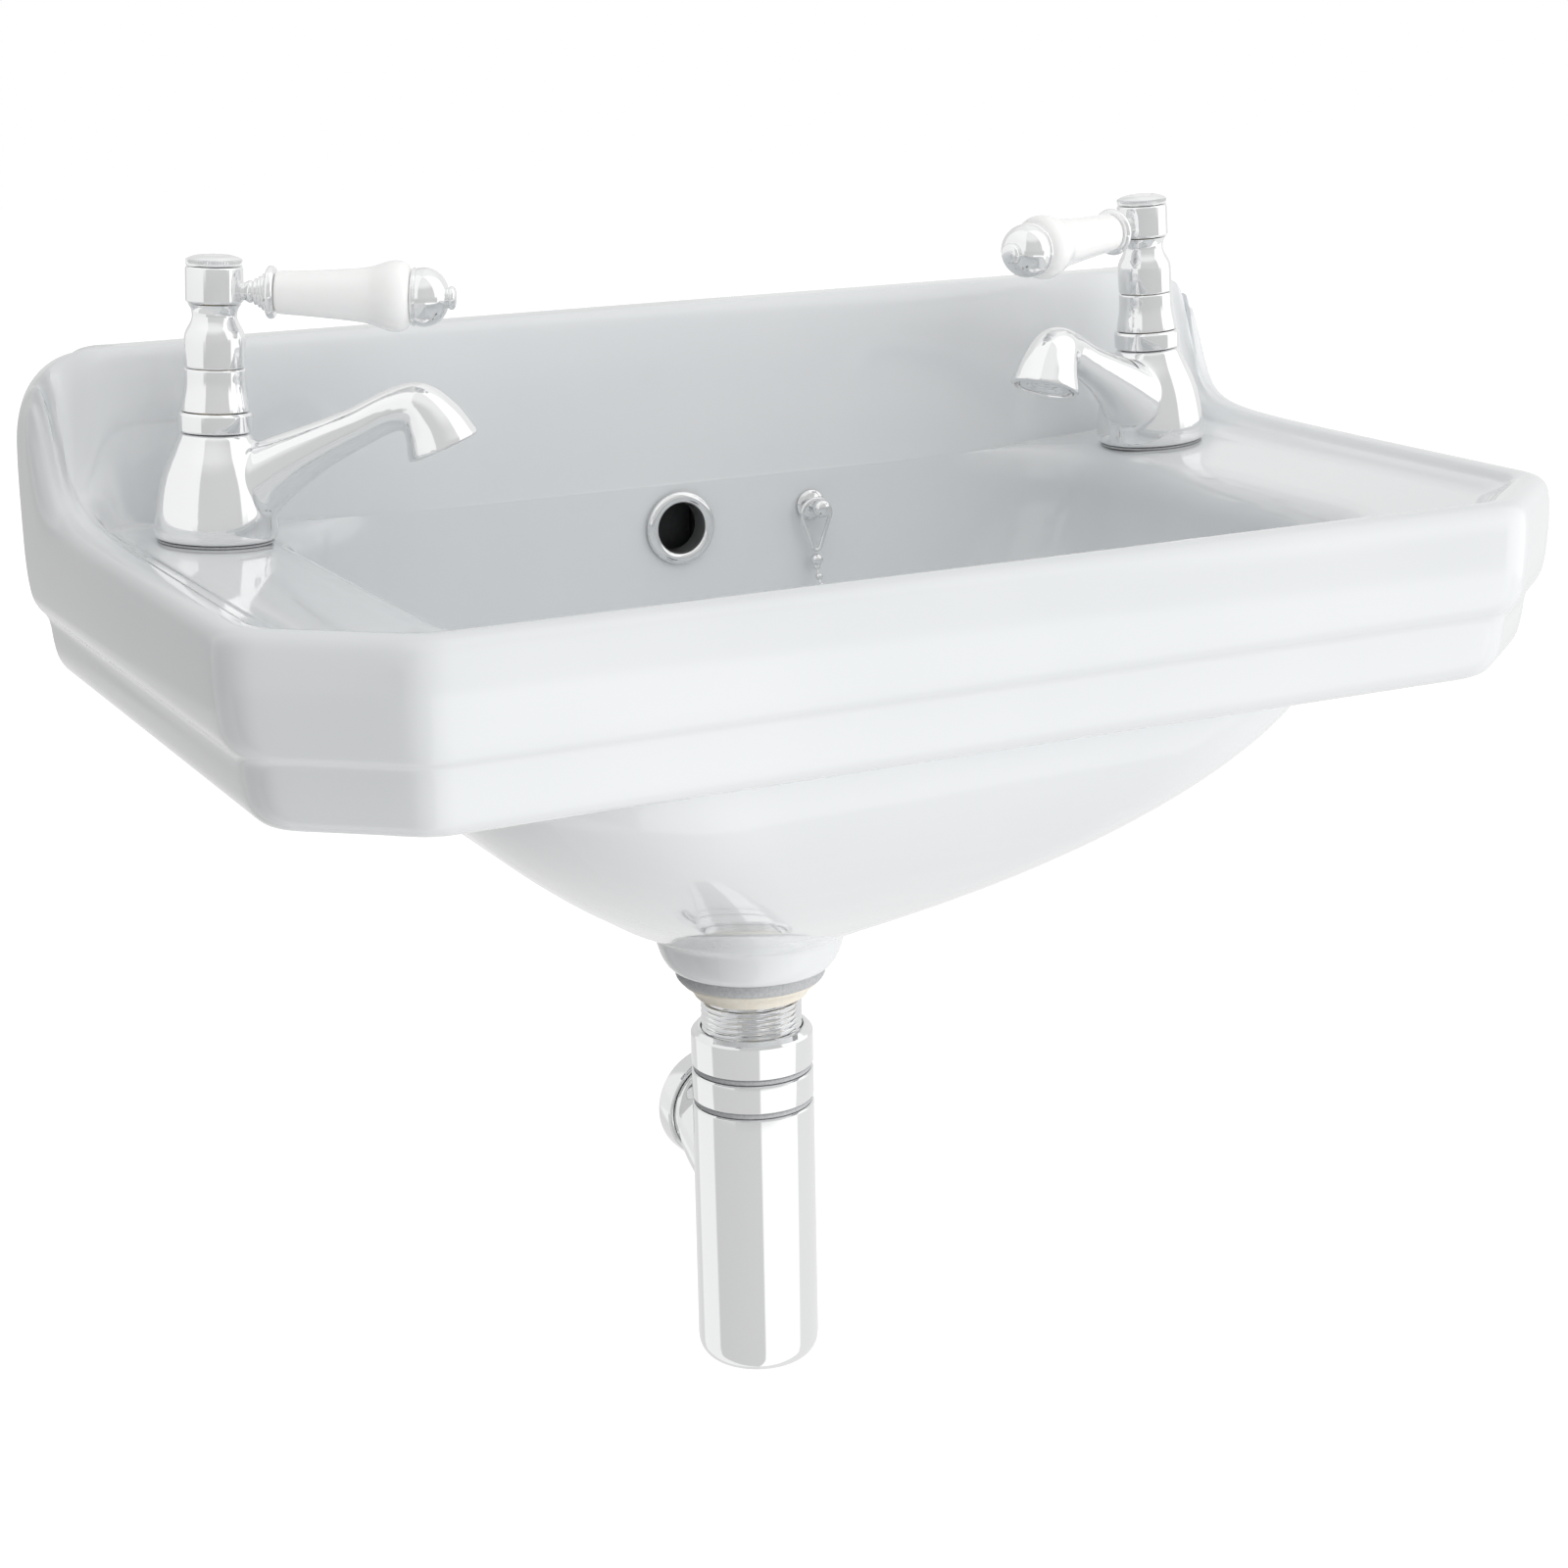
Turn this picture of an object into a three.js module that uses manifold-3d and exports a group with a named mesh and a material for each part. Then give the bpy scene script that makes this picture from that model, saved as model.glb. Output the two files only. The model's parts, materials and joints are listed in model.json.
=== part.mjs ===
// Wall-hung two-tap cloakroom basin with lever pillar taps, slotted waste and bottle trap.
// Millimetres, +Z up. The wall is the plane Y = 0, the basin stands out towards -Y,
// and the origin is on the basin's back face at the height of its rim.
import * as THREE from 'three';
import { mergeVertices } from 'three/addons/utils/BufferGeometryUtils.js';
import Module from 'manifold-3d';

const wasm = await Module();
wasm.setup();

// ---------------------------------------------------------------- driving sizes
const WIDTH = 530;                 // basin, left to right
const DEPTH = 305;                 // basin, wall to front
const BACK_RISE = 60;              // height of the upstand over the rim
const BAND_STEP_Z = -43.5;         // step between the upper and the lower band
const BAND_END_Z = -68.5;          // underside of the lower band
const HULL_END_Z = -192;           // lowest china outside the bowl
const FLOOR_Z = -178;              // bowl floor
const BOSS_END_Z = -204.3;         // lower face of the boss round the waste
const WASTE = [0, -88];            // plan position of the waste
const TAP_X = 208;                 // half the distance between the taps
const TAP_Y = -68;
const DECK_Z = -8.5;               // deck height at a tap
const DECK_SLOPE = THREE.MathUtils.degToRad(3.3);   // decks fall towards the bowl
const SPOUT_TURN = THREE.MathUtils.degToRad(27);    // spouts turned towards the front
const LEFT_LEVER_TURN = SPOUT_TURN;
const RIGHT_LEVER_TURN = THREE.MathUtils.degToRad(19);
const GAP = 0.3;                   // play between touching pieces

const HALF = WIDTH / 2;
const ROUND = 28;                  // facets round the large turned pieces
const SMALL_ROUND = 16;            // facets round the tap pieces
const TINY_ROUND = 12;             // facets round the smallest pieces

// ---------------------------------------------------------------- materials
const metal = (colour, roughness) => ({ color: colour, roughness, metalness: 1 });
const plain = (colour, roughness) => ({ color: colour, roughness, metalness: 0 });
const CHINA = plain('#e8ebeb', 0.08);
const CHROME = metal('#dfe3e6', 0.06);
const BRASS = metal('#c2a25c', 0.3);
const PORCELAIN = plain('#f6f5f1', 0.12);
const GREY_RUBBER = plain('#8d9193', 0.6);
const BLACK_RUBBER = plain('#1d1f20', 0.65);
const CREAM_PLASTIC = plain('#ece2c8', 0.45);
const WHITE_PLASTIC = plain('#eceded', 0.4);

const basinSet = new THREE.Group();

// ---------------------------------------------------------------- geometry helpers
function toSolid(geometry) {
  const bare = geometry.clone();
  bare.deleteAttribute('normal');
  bare.deleteAttribute('uv');
  const merged = mergeVertices(bare, 1e-4);
  return new wasm.Manifold(new wasm.Mesh({
    numProp: 3,
    vertProperties: new Float32Array(merged.attributes.position.array),
    triVerts: new Uint32Array(merged.index.array),
  }));
}

function toGeometry(solid) {
  const mesh = solid.getMesh();
  const geometry = new THREE.BufferGeometry();
  geometry.setAttribute('position', new THREE.BufferAttribute(new Float32Array(mesh.vertProperties), 3));
  geometry.setIndex(new THREE.BufferAttribute(new Uint32Array(mesh.triVerts), 1));
  geometry.computeVertexNormals();
  return geometry;
}

function addPiece(name, geometry, look) {
  const mesh = new THREE.Mesh(geometry, new THREE.MeshStandardMaterial(look));
  mesh.name = name;
  basinSet.add(mesh);
}

// Skin over closed rings of equal length, capped at both ends, facing out.
function skinRings(rings) {
  const count = rings[0].length;
  const points = rings.flat();
  const index = [];
  for (let r = 0; r + 1 < rings.length; r += 1) {
    for (let i = 0; i < count; i += 1) {
      const a = r * count + i;
      const b = r * count + ((i + 1) % count);
      index.push(a, b, b + count, a, b + count, a + count);
    }
  }
  const capRing = (ring, base, flip) => {
    const centre = ring.reduce((sum, p) => sum.map((v, k) => v + p[k] / count), [0, 0, 0]);
    const hub = points.length;
    points.push(centre);
    for (let i = 0; i < count; i += 1) {
      const a = base + i;
      const b = base + ((i + 1) % count);
      index.push(...(flip ? [hub, b, a] : [hub, a, b]));
    }
  };
  capRing(rings[0], 0, true);
  capRing(rings[rings.length - 1], (rings.length - 1) * count, false);
  if (signedVolume(points, index) < 0) index.reverse();
  const geometry = new THREE.BufferGeometry();
  geometry.setAttribute('position', new THREE.Float32BufferAttribute(points.flat(), 3));
  geometry.setIndex(index);
  return geometry;
}

function signedVolume(points, index) {
  let sum = 0;
  for (let i = 0; i < index.length; i += 3) {
    const [a, b, c] = [points[index[i]], points[index[i + 1]], points[index[i + 2]]];
    sum += a[0] * (b[1] * c[2] - b[2] * c[1])
      - a[1] * (b[0] * c[2] - b[2] * c[0])
      + a[2] * (b[0] * c[1] - b[1] * c[0]);
  }
  return sum;
}

// Turned piece about +Z. profile is [radius, height] pairs; a profile that does not
// touch the axis closes on itself.
function turned(profile, facets = ROUND) {
  const points = profile.map(([radius, height]) => new THREE.Vector2(radius, height));
  const last = profile[profile.length - 1];
  if (profile[0][0] > 0 || last[0] > 0) points.push(points[0].clone());
  const geometry = new THREE.LatheGeometry(points, facets);
  geometry.rotateX(Math.PI / 2);
  const bare = geometry.clone();
  bare.deleteAttribute('normal');
  bare.deleteAttribute('uv');
  const merged = mergeVertices(bare, 1e-4);
  return facingOut(merged);
}

// Drop the flat triangles on the axis and make the surface face out.
function facingOut(geometry) {
  const position = geometry.attributes.position;
  const points = [];
  for (let i = 0; i < position.count; i += 1) {
    points.push([position.getX(i), position.getY(i), position.getZ(i)]);
  }
  const kept = [];
  const index = geometry.index.array;
  for (let i = 0; i < index.length; i += 3) {
    const [a, b, c] = [index[i], index[i + 1], index[i + 2]];
    if (a !== b && b !== c && c !== a) kept.push(a, b, c);
  }
  if (signedVolume(points, kept) < 0) kept.reverse();
  const result = new THREE.BufferGeometry();
  result.setAttribute('position', new THREE.Float32BufferAttribute(points.flat(), 3));
  result.setIndex(kept);
  return result;
}

const pipe = (outer, inner, low, high, facets) => turned(
  [[outer, low], [outer, high], [inner, high], [inner, low]], facets);
const rod = (radius, low, high, facets) => turned(
  [[0, low], [radius, low], [radius, high], [0, high]], facets);

// Solid bar of a convex plan outline between two heights.
function bar(outline, low, high) {
  const ring = (z) => outline.map(([x, y]) => [x, y, z]);
  return skinRings([ring(low), ring(high)]);
}

const moved = (geometry, x, y, z) => geometry.clone().translate(x, y, z);
const placed = (geometry, matrix) => geometry.clone().applyMatrix4(matrix);

function cut(base, ...tools) {
  let solid = toSolid(base);
  for (const tool of tools) solid = solid.subtract(toSolid(tool));
  return toGeometry(solid);
}

function join(base, ...others) {
  let solid = toSolid(base);
  for (const other of others) solid = solid.add(toSolid(other));
  return toGeometry(solid);
}

// ---------------------------------------------------------------- basin outline
const CHAMFER = [51, 44];          // front corners: cut back in X and in Y
const CHAMFER_ROUND = 14;
const SIDE_STEPS = 7;              // points along a side, crowded towards the wall
const EDGE_STEP = 0.55;            // point along half of the back or front edge

// Arc of the given radius that rounds the corner at b between a and c.
function roundedCorner(a, b, c, radius, count) {
  const [pa, pb, pc] = [a, b, c].map(([x, y]) => new THREE.Vector2(x, y));
  const toA = pa.clone().sub(pb).normalize();
  const toC = pc.clone().sub(pb).normalize();
  const halfAngle = Math.acos(toA.dot(toC)) / 2;
  const bisector = toA.clone().add(toC).normalize();
  const centre = pb.clone().addScaledVector(bisector, radius / Math.sin(halfAngle));
  const start = pb.clone().addScaledVector(toA, radius / Math.tan(halfAngle)).sub(centre);
  const sweep = Math.sign(toC.cross(toA)) * (Math.PI - 2 * halfAngle);
  const origin = new THREE.Vector2();
  const arc = [];
  for (let i = 0; i < count; i += 1) {
    const p = start.clone().rotateAround(origin, sweep * i / (count - 1));
    arc.push([centre.x + p.x, centre.y + p.y]);
  }
  return arc;
}

// Closed plan outline: straight back, two sides, chamfered and rounded front corners.
function planOutline({ half, back, front, chamfer, chamferRound, backRound }) {
  const corner = roundedCorner([0, back], [half, back], [half, front], backRound, 5);
  const bend1 = [half, front + chamfer[1]];
  const bend2 = [half - chamfer[0], front];
  const arc1 = roundedCorner([half, back], bend1, bend2, chamferRound, 3);
  const arc2 = roundedCorner(bend1, bend2, [0, front], chamferRound, 3);
  const right = [];
  right.push([corner[0][0] * EDGE_STEP, back], ...corner);
  const sideTop = corner[corner.length - 1][1];
  const sideEnd = arc1[0][1];
  for (let i = 1; i <= SIDE_STEPS; i += 1) {
    const t = (i / (SIDE_STEPS + 1)) ** 1.9;
    right.push([half, sideTop + (sideEnd - sideTop) * t]);
  }
  right.push(...arc1, ...arc2);
  right.push([arc2[2][0] * EDGE_STEP, front]);
  const left = right.map(([x, y]) => [-x, y]).reverse();
  return [[0, back], ...right, [0, front], ...left];
}

// Outline of the basin drawn in by an equal distance, less at the wall.
function insetOutline(inset, backInset) {
  const shrink = 0.586 * inset;
  return planOutline({
    half: HALF - inset,
    back: -backInset,
    front: -DEPTH + inset,
    chamfer: CHAMFER.map((leg) => leg - shrink),
    chamferRound: Math.max(CHAMFER_ROUND - 0.3 * inset, 6),
    backRound: 3 + 0.9 * Math.min(backInset, 22),
  });
}

// Rounded rectangle with the same number of points.
function roundedOutline(half, back, front, radius) {
  const leg = 0.586 * radius;
  return planOutline({ half, back, front, chamfer: [leg, leg], chamferRound: radius, backRound: radius });
}

// ---------------------------------------------------------------- basin surface
const CORNER_ROUND = 32;           // upper corners of the upstand, seen from the front
const SHELF = 18;                  // thickness of the upstand's level top
const SWEEP = 11;                  // the rim falls half-way within this distance

// Height that the rim is lifted by, from the side rim up to the upstand.
function rimLift(x, y) {
  const past = Math.max(-y - SHELF, 0);
  const fall = 1 / (1 + (past / SWEEP) ** 2.2);
  const beyond = Math.min(Math.max(Math.abs(x) - (HALF - CORNER_ROUND), 0), CORNER_ROUND);
  const drop = CORNER_ROUND - Math.sqrt(CORNER_ROUND ** 2 - beyond ** 2);
  return (BACK_RISE - drop) * fall;
}

const BOWL_HALF = 187;             // half width of the bowl's mouth
const MOUTH_ROUND = 54;            // corners of the bowl's mouth, in plan
const DECK_INNER = BOWL_HALF - MOUTH_ROUND;
const deckHeight = (x) => DECK_Z - (TAP_X - Math.max(Math.abs(x), DECK_INNER)) * Math.tan(DECK_SLOPE);

const rimRing = (inset, backInset, z) => insetOutline(inset, backInset)
  .map(([x, y]) => [x, y, z + rimLift(x, y)]);
const bandRing = (inset, backInset, z) => insetOutline(inset, backInset).map(([x, y]) => [x, y, z]);
const deckRing = (inset, backInset, rise) => insetOutline(inset, backInset)
  .map(([x, y]) => [x, y, deckHeight(x) + rise]);
const lipRing = (shrink, depth) => roundedOutline(
  BOWL_HALF - shrink, -30, -283 + shrink * 0.3, MOUTH_ROUND - shrink * 0.4,
).map(([x, y]) => [x, y, deckHeight(x) - depth]);

const BOWL_TOP_Z = -24;
const HULL_TOP_Z = -66;

// Inside of the bowl at depth t, from 0 under the lip to 1 at the floor.
function bowlRing(t) {
  const half = 36 + 141 * (1 - t ** 1.9);
  const front = -124 - 157 * (1 - t ** 1.74);
  const z = BOWL_TOP_Z + (FLOOR_Z - BOWL_TOP_Z) * t;
  return roundedOutline(half, -30 - 22 * t ** 2, front, 50 - 22 * t ** 3).map(([x, y]) => [x, y, z]);
}

// Outside of the bowl at depth t, from 0 at the band to 1 at the boss.
function hullRing(t) {
  const half = 39 + 145.5 * (1 - t ** 1.3);
  const back = -8 - 33.5 * t ** 9;
  const front = -118 - 157 * (1 - t ** 1.8);
  const corner = Math.min(80 - 27 * t ** 2, half - 2, (back - front) / 2 - 2);
  const z = HULL_TOP_Z + (HULL_END_Z - HULL_TOP_Z) * t;
  return roundedOutline(half, back, front, corner).map(([x, y]) => [x, y, z]);
}

const steps = (count, power = 1) => Array.from({ length: count }, (_, i) => ((i + 1) / count) ** power);

function basinShell() {
  const inside = [
    ...steps(6, 0.75).reverse().map(bowlRing),
    lipRing(8, 7), lipRing(4, 1.3), lipRing(0, 0),
    deckRing(23, 28.5, 0), deckRing(18.5, 24.5, 1.6),
  ];
  const rim = [
    rimRing(16.5, 18.5, -3.2), rimRing(13, 14, -0.9), rimRing(9, 9, 0),
    rimRing(5, 4.5, -1.2), rimRing(2, 1.6, -4), rimRing(0.3, 0, -8.5),
  ];
  const bands = [
    bandRing(0, 0, -14), bandRing(0.8, 0, -31), bandRing(3.4, 0, -40), bandRing(7, 0, BAND_STEP_Z),
    bandRing(8, 0, BAND_STEP_Z - 2), bandRing(9, 0, -57), bandRing(12.5, 0, -65),
    bandRing(20, 2, BAND_END_Z),
  ];
  const outside = [hullRing(0), ...steps(7, 0.85).map(hullRing)];
  return skinRings([...inside, ...rim, ...bands, ...outside]);
}

// ---------------------------------------------------------------- basin details
const SEAT_Z = -180.5;             // waste flange seat
const BOSS_RADIUS = 39.5;
const OVERFLOW_Z = -31;
const STAY = [61, -30.5, -27.5];   // chain stay, on the bowl's back wall
const TAP_HOLE = 13;
const DECK_THICK = 15;

// Frame of a tap: local X along the spout, local Z up out of the sloping deck.
function tapFrame(side, turnForward = SPOUT_TURN) {
  const lean = new THREE.Matrix4().makeRotationY(-side * DECK_SLOPE);
  const turnAngle = side < 0 ? -turnForward : Math.PI + turnForward;
  const turn = new THREE.Matrix4().makeRotationZ(turnAngle);
  return new THREE.Matrix4().makeTranslation(side * TAP_X, TAP_Y, DECK_Z).multiply(lean).multiply(turn);
}

// Hollow under a deck for the tap's tail and back nut.
function deckPocket(side) {
  const outline = [
    [191, -13], [244, -13], [244, -255], [214, -281], [205, -281], [191, -262],
  ].map(([x, y]) => [side * x - side * TAP_X, y - TAP_Y]);
  const hollow = bar(outline, -90, -DECK_THICK);
  const lean = new THREE.Matrix4().makeRotationY(-side * DECK_SLOPE);
  return placed(hollow, lean.premultiply(new THREE.Matrix4().makeTranslation(side * TAP_X, TAP_Y, DECK_Z)));
}

// Prism of a convex Y-Z outline, centred on X = 0.
function sideProfile(outline, width) {
  const ring = (x) => outline.map(([y, z]) => [x, y, z]);
  return skinRings([ring(-width / 2), ring(width / 2)]);
}

function basin() {
  const [wx, wy] = WASTE;
  const boss = moved(turned([
    [0, HULL_END_Z + 8], [BOSS_RADIUS, HULL_END_Z + 8], [BOSS_RADIUS, HULL_END_Z + 2],
    [38.4, HULL_END_Z - 2], [36.8, HULL_END_Z - 6.5], [34.8, HULL_END_Z - 10],
    [33, BOSS_END_Z + 0.6], [31.6, BOSS_END_Z],
    [0, BOSS_END_Z],
  ]), wx, wy, 0);
  const ductHousing = sideProfile([
    [-9, -120], [-9, -180], [-14, -196], [-24, -202], [-60, -202], [-60, -190], [-30, -150],
  ], 40);
  const shell = join(basinShell(), boss, ductHousing);
  const ductDrop = sideProfile([
    [-16, OVERFLOW_Z + 13], [-16, -182], [-22, -194], [-24, -194], [-24, OVERFLOW_Z + 13],
  ], 22);
  const ductRun = sideProfile([[-22, -194], [wy, -194], [wy, -186.5], [-22, -186.5]], 22);
  const seat = moved(rod(33, SEAT_Z, FLOOR_Z + 20), wx, wy, 0);
  const wasteHole = moved(rod(22.5, BOSS_END_Z - 5, FLOOR_Z + 5), wx, wy, 0);
  const overflowHole = rod(12, 0, 25, ROUND).rotateX(-Math.PI / 2).translate(0, -44, OVERFLOW_Z);
  const stayHole = rod(3, 0, 26, TINY_ROUND).rotateX(-Math.PI / 2).translate(STAY[0], -44, STAY[2]);
  const tapHoles = [-1, 1].map((side) => placed(rod(TAP_HOLE, -40, 10, SMALL_ROUND), tapFrame(side)));
  return cut(shell, ductDrop, ductRun, seat, wasteHole, overflowHole, stayHole,
    ...tapHoles, deckPocket(-1), deckPocket(1));
}

addPiece('basin', basin(), CHINA);

// ---------------------------------------------------------------- overflow ring
function overflowRing() {
  const ring = turned([
    [11.6, -8], [11.6, 0], [15.2, 0], [15.2, 0.9], [14.4, 2.1], [12.8, 2.6], [11, 2], [10.3, 0.6], [10.3, -8],
  ], 24);
  return ring.rotateX(Math.PI / 2).translate(0, -31.3, OVERFLOW_Z);
}

addPiece('overflow_ring', overflowRing(), CHROME);

// ---------------------------------------------------------------- waste
const TAIL_RADIUS = 20.95;         // thread over the waste's tail
const TAIL_BORE = 17.8;
const THREAD_TOP_Z = -216;
const TAIL_END_Z = -235;
const PITCH = 2.31;
const onWaste = (geometry) => moved(geometry, WASTE[0], WASTE[1], 0);

const NECK_END_Z = -187.3;         // the flange's neck stops here and the tail takes over

// Dished flange with a cross grid in its neck.
function wasteFlange() {
  const dish = turned([
    [TAIL_BORE, NECK_END_Z + GAP], [TAIL_BORE, -182.5], [19.3, -180.2], [24.5, -178.6], [29.5, FLOOR_Z + 0.2],
    [31.6, FLOOR_Z - 0.4], [31.6, -179.4], [22.2, -179.8], [20.8, -181.4], [20.8, NECK_END_Z + GAP],
  ]);
  const gridBar = bar([[-19, -1.5], [19, -1.5], [19, 1.5], [-19, 1.5]], -186.6, -184);
  return onWaste(join(dish, gridBar, gridBar.clone().rotateZ(Math.PI / 2)));
}

// Threaded tail, slotted to take the overflow's water.
function wasteTail() {
  const thread = [];
  const turns = Math.floor((THREAD_TOP_Z - TAIL_END_Z) / PITCH);
  for (let i = 0; i < turns; i += 1) {
    const z = THREAD_TOP_Z - i * PITCH;
    thread.push([TAIL_RADIUS, z - 0.7], [19.7, z - 1.6]);
  }
  const tube = turned([
    [TAIL_BORE, TAIL_END_Z], [TAIL_BORE, NECK_END_Z], [20.6, NECK_END_Z], ...thread, [19.7, TAIL_END_Z],
  ]);
  const slot = bar([[-9, -30], [9, -30], [9, 30], [-9, 30]], -197, -189);
  return onWaste(cut(tube, slot));
}

function backNut() {
  return onWaste(turned([
    [21.4, -217], [23.6, -217], [28.2, -212], [28.4, -210.1], [21.4, -210.1],
  ]));
}

addPiece('waste_flange', wasteFlange(), CHROME);
addPiece('waste_tail', wasteTail(), CHROME);
addPiece('waste_flange_seal', onWaste(pipe(29.5, 22.2, SEAT_Z + 0.1, SEAT_Z + 0.5)), GREY_RUBBER);
addPiece('waste_lower_washer', onWaste(pipe(30.8, 21.4, -209.8, -204.6)), GREY_RUBBER);
addPiece('waste_back_nut', backNut(), CREAM_PLASTIC);

// ---------------------------------------------------------------- bottle trap
const TRAP_RADIUS = 25.4;
const OUTLET_Z = -279;
const OUTLET_Y = WASTE[1] + 37;    // end of the outlet spigot

function inletNut() {
  return onWaste(turned([
    [21.4, -230.8], [23.2, -230.8], [TRAP_RADIUS, -233.4], [TRAP_RADIUS, -246.7], [24.8, -247.2],
    [22.6, -247.2], [22.6, -238], [21.4, -236.5],
  ]));
}

function trapCollar() {
  return onWaste(turned([
    [18, -272], [23.1, -272], [23.1, -261.9], [24.9, -261.9], [TRAP_RADIUS, -261.4],
    [TRAP_RADIUS, -250.1], [24.9, -249.6], [23.4, -249.6], [23.4, -247.5], [22.2, -247.5],
    [22.2, -246], [18, -246],
  ]));
}

const seal = (z) => onWaste(turned([
  [23.7, z], [24, z + 0.8], [24.6, z + 0.8], [24.9, z], [24.6, z - 0.8], [24, z - 0.8],
]));

function alongY(geometry, z) {
  return geometry.rotateX(-Math.PI / 2).translate(WASTE[0], 0, z);
}

function trapBody() {
  const cup = onWaste(turned([
    [0, -379], [17, -379], [21.5, -377.6], [24.4, -374.4], [TRAP_RADIUS, -370], [TRAP_RADIUS, -264.8],
    [24.8, -264.2], [0, -264.2],
  ]));
  const circle = (y, z, radius) => Array.from({ length: ROUND }, (_, i) => {
    const turn = (i / ROUND) * 2 * Math.PI;
    return [WASTE[0] + radius * Math.cos(turn), y, z + radius * Math.sin(turn)];
  });
  const horn = skinRings([
    circle(WASTE[1] + 6, OUTLET_Z - 22, 21), circle(WASTE[1] + 25.7, OUTLET_Z - 7.8, 21.5),
    circle(WASTE[1] + 28.5, OUTLET_Z, 22.4),
    circle(WASTE[1] + 31, OUTLET_Z, 22.4), circle(WASTE[1] + 31.1, OUTLET_Z, 19.6),
    circle(OUTLET_Y, OUTLET_Z, 19.6),
  ]);
  const hollow = onWaste(turned([[0, -376], [19, -376], [23.4, -371], [23.4, -260], [0, -260]]));
  const waterway = skinRings([
    circle(WASTE[1], OUTLET_Z - 12, 14), circle(WASTE[1] + 25.7, OUTLET_Z - 3, 14.4),
    circle(WASTE[1] + 32, OUTLET_Z, 15.4), circle(OUTLET_Y + 4, OUTLET_Z, 15.4),
  ]);
  return cut(join(cup, horn), hollow, waterway);
}

function outletNut() {
  const start = WASTE[1] + 31.5;
  return alongY(turned([
    [20, start], [24, start], [24.6, start + 0.8], [24.6, start + 10.4], [23.6, start + 11.6],
    [16.8, start + 11.6], [16.8, start + 8.6], [20, start + 8.6],
  ]), OUTLET_Z);
}

const outletWasher = () => alongY(pipe(19.6, 16.8, OUTLET_Y + 0.4, OUTLET_Y + 2.6), OUTLET_Z);

addPiece('trap_inlet_nut', inletNut(), CHROME);
addPiece('trap_inlet_washer', onWaste(pipe(22, 18, -245.6, -243.4)), BLACK_RUBBER);
addPiece('trap_upper_seal', seal(-248.4), GREY_RUBBER);
addPiece('trap_collar', trapCollar(), CHROME);
addPiece('trap_lower_seal', seal(-263.05), GREY_RUBBER);
addPiece('trap_body', trapBody(), CHROME);
addPiece('trap_dip_tube', onWaste(pipe(17.6, 16.4, -350, -250)), WHITE_PLASTIC);
addPiece('trap_outlet_nut', outletNut(), CHROME);
addPiece('trap_outlet_washer', outletWasher(), BLACK_RUBBER);

// ---------------------------------------------------------------- taps
// Heights here are measured up from the deck, along the tap's own axis.
const LEVER_HEIGHT = 93;
const VALVE_RADIUS = 8;
const VALVE_ROOM = VALVE_RADIUS + GAP + 0.2;

// Spout centre line in the tap's X-Z plane, with the radius at each point.
const SPOUT = [
  [4, 16, 13.5], [15, 23.5, 12.4], [28, 31.5, 10], [42, 39, 8], [55, 45.6, 7.5],
  [66, 51, 8], [74.5, 52, 9.8], [80.8, 46, 12], [85, 37.8, 14.6],
];

// Rings square to the centre line.
function spoutRings(line, facets, radiusAt) {
  return line.map(([x, z, radius], i) => {
    const before = line[Math.max(i - 1, 0)];
    const after = line[Math.min(i + 1, line.length - 1)];
    const along = new THREE.Vector2(after[0] - before[0], after[1] - before[1]).normalize();
    const r = radiusAt(radius);
    return Array.from({ length: facets }, (_, k) => {
      const turn = (k / facets) * 2 * Math.PI;
      const out = r * Math.cos(turn);
      return [x - along.y * out, r * Math.sin(turn), z + along.x * out];
    });
  });
}

function nozzleFrame() {
  const [x, z] = SPOUT[SPOUT.length - 1];
  const [bx, bz] = SPOUT[SPOUT.length - 2];
  const angle = Math.atan2(bx - x, bz - z);
  return new THREE.Matrix4().makeTranslation(x, 0, z).multiply(new THREE.Matrix4().makeRotationY(angle));
}

function tapCasting() {
  const body = turned([
    [0, 1.1], [22.4, 1.1], [23.1, 3.6], [22.7, 10.5], [20.9, 21], [17.7, 31], [14.6, 37.6],
    [13.2, 41], [0, 41],
  ], 20);
  const spout = skinRings(spoutRings(SPOUT, SMALL_ROUND, (radius) => radius));
  const tail = rod(10.2, -52, 4, SMALL_ROUND);
  const valveRoom = rod(VALVE_ROOM, 17, 60, SMALL_ROUND);
  const inlet = rod(6.5, -60, 20, TINY_ROUND);
  const waterway = skinRings(spoutRings(SPOUT.slice(0, -1), 8, () => 4));
  const mouth = placed(turned([[0, -2], [12.6, -2], [11.2, 5.5], [0, 5.5]], SMALL_ROUND), nozzleFrame());
  return cut(join(body, spout, tail), valveRoom, inlet, waterway, mouth);
}

const nozzleInsert = () => placed(turned([
  [7.4, 0.6], [10.4, 0.6], [10.4, 3.8], [8.6, 4.6], [7.4, 4.6],
], SMALL_ROUND), nozzleFrame());

const bonnetCollar = () => turned([
  [VALVE_ROOM, 41.3], [13.3, 41.3], [13.9, 42], [13.9, 47.7], [13.1, 48.6], [VALVE_ROOM, 48.6],
], SMALL_ROUND);

const lowerShroud = () => turned([
  [VALVE_ROOM, 48.9], [12.7, 48.9], [12.5, 51.5], [11.25, 58.5], [11.25, 64.5], [VALVE_ROOM, 64.5],
], SMALL_ROUND);

const upperShroud = () => turned([
  [VALVE_ROOM, 64.8], [11.25, 64.8], [11.25, 75.6], [9.6, 80], [8.3, 83.4],
  [8.5, 86], [9.9, 88.2], [5, 88.2], [5, 74], [VALVE_ROOM, 70],
], SMALL_ROUND);

const valve = () => turned([
  [0, 18], [VALVE_RADIUS, 18], [VALVE_RADIUS, 66], [6, 69], [0, 69],
], TINY_ROUND);

const spindle = () => rod(4.2, 69.3, 97, TINY_ROUND);

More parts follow.
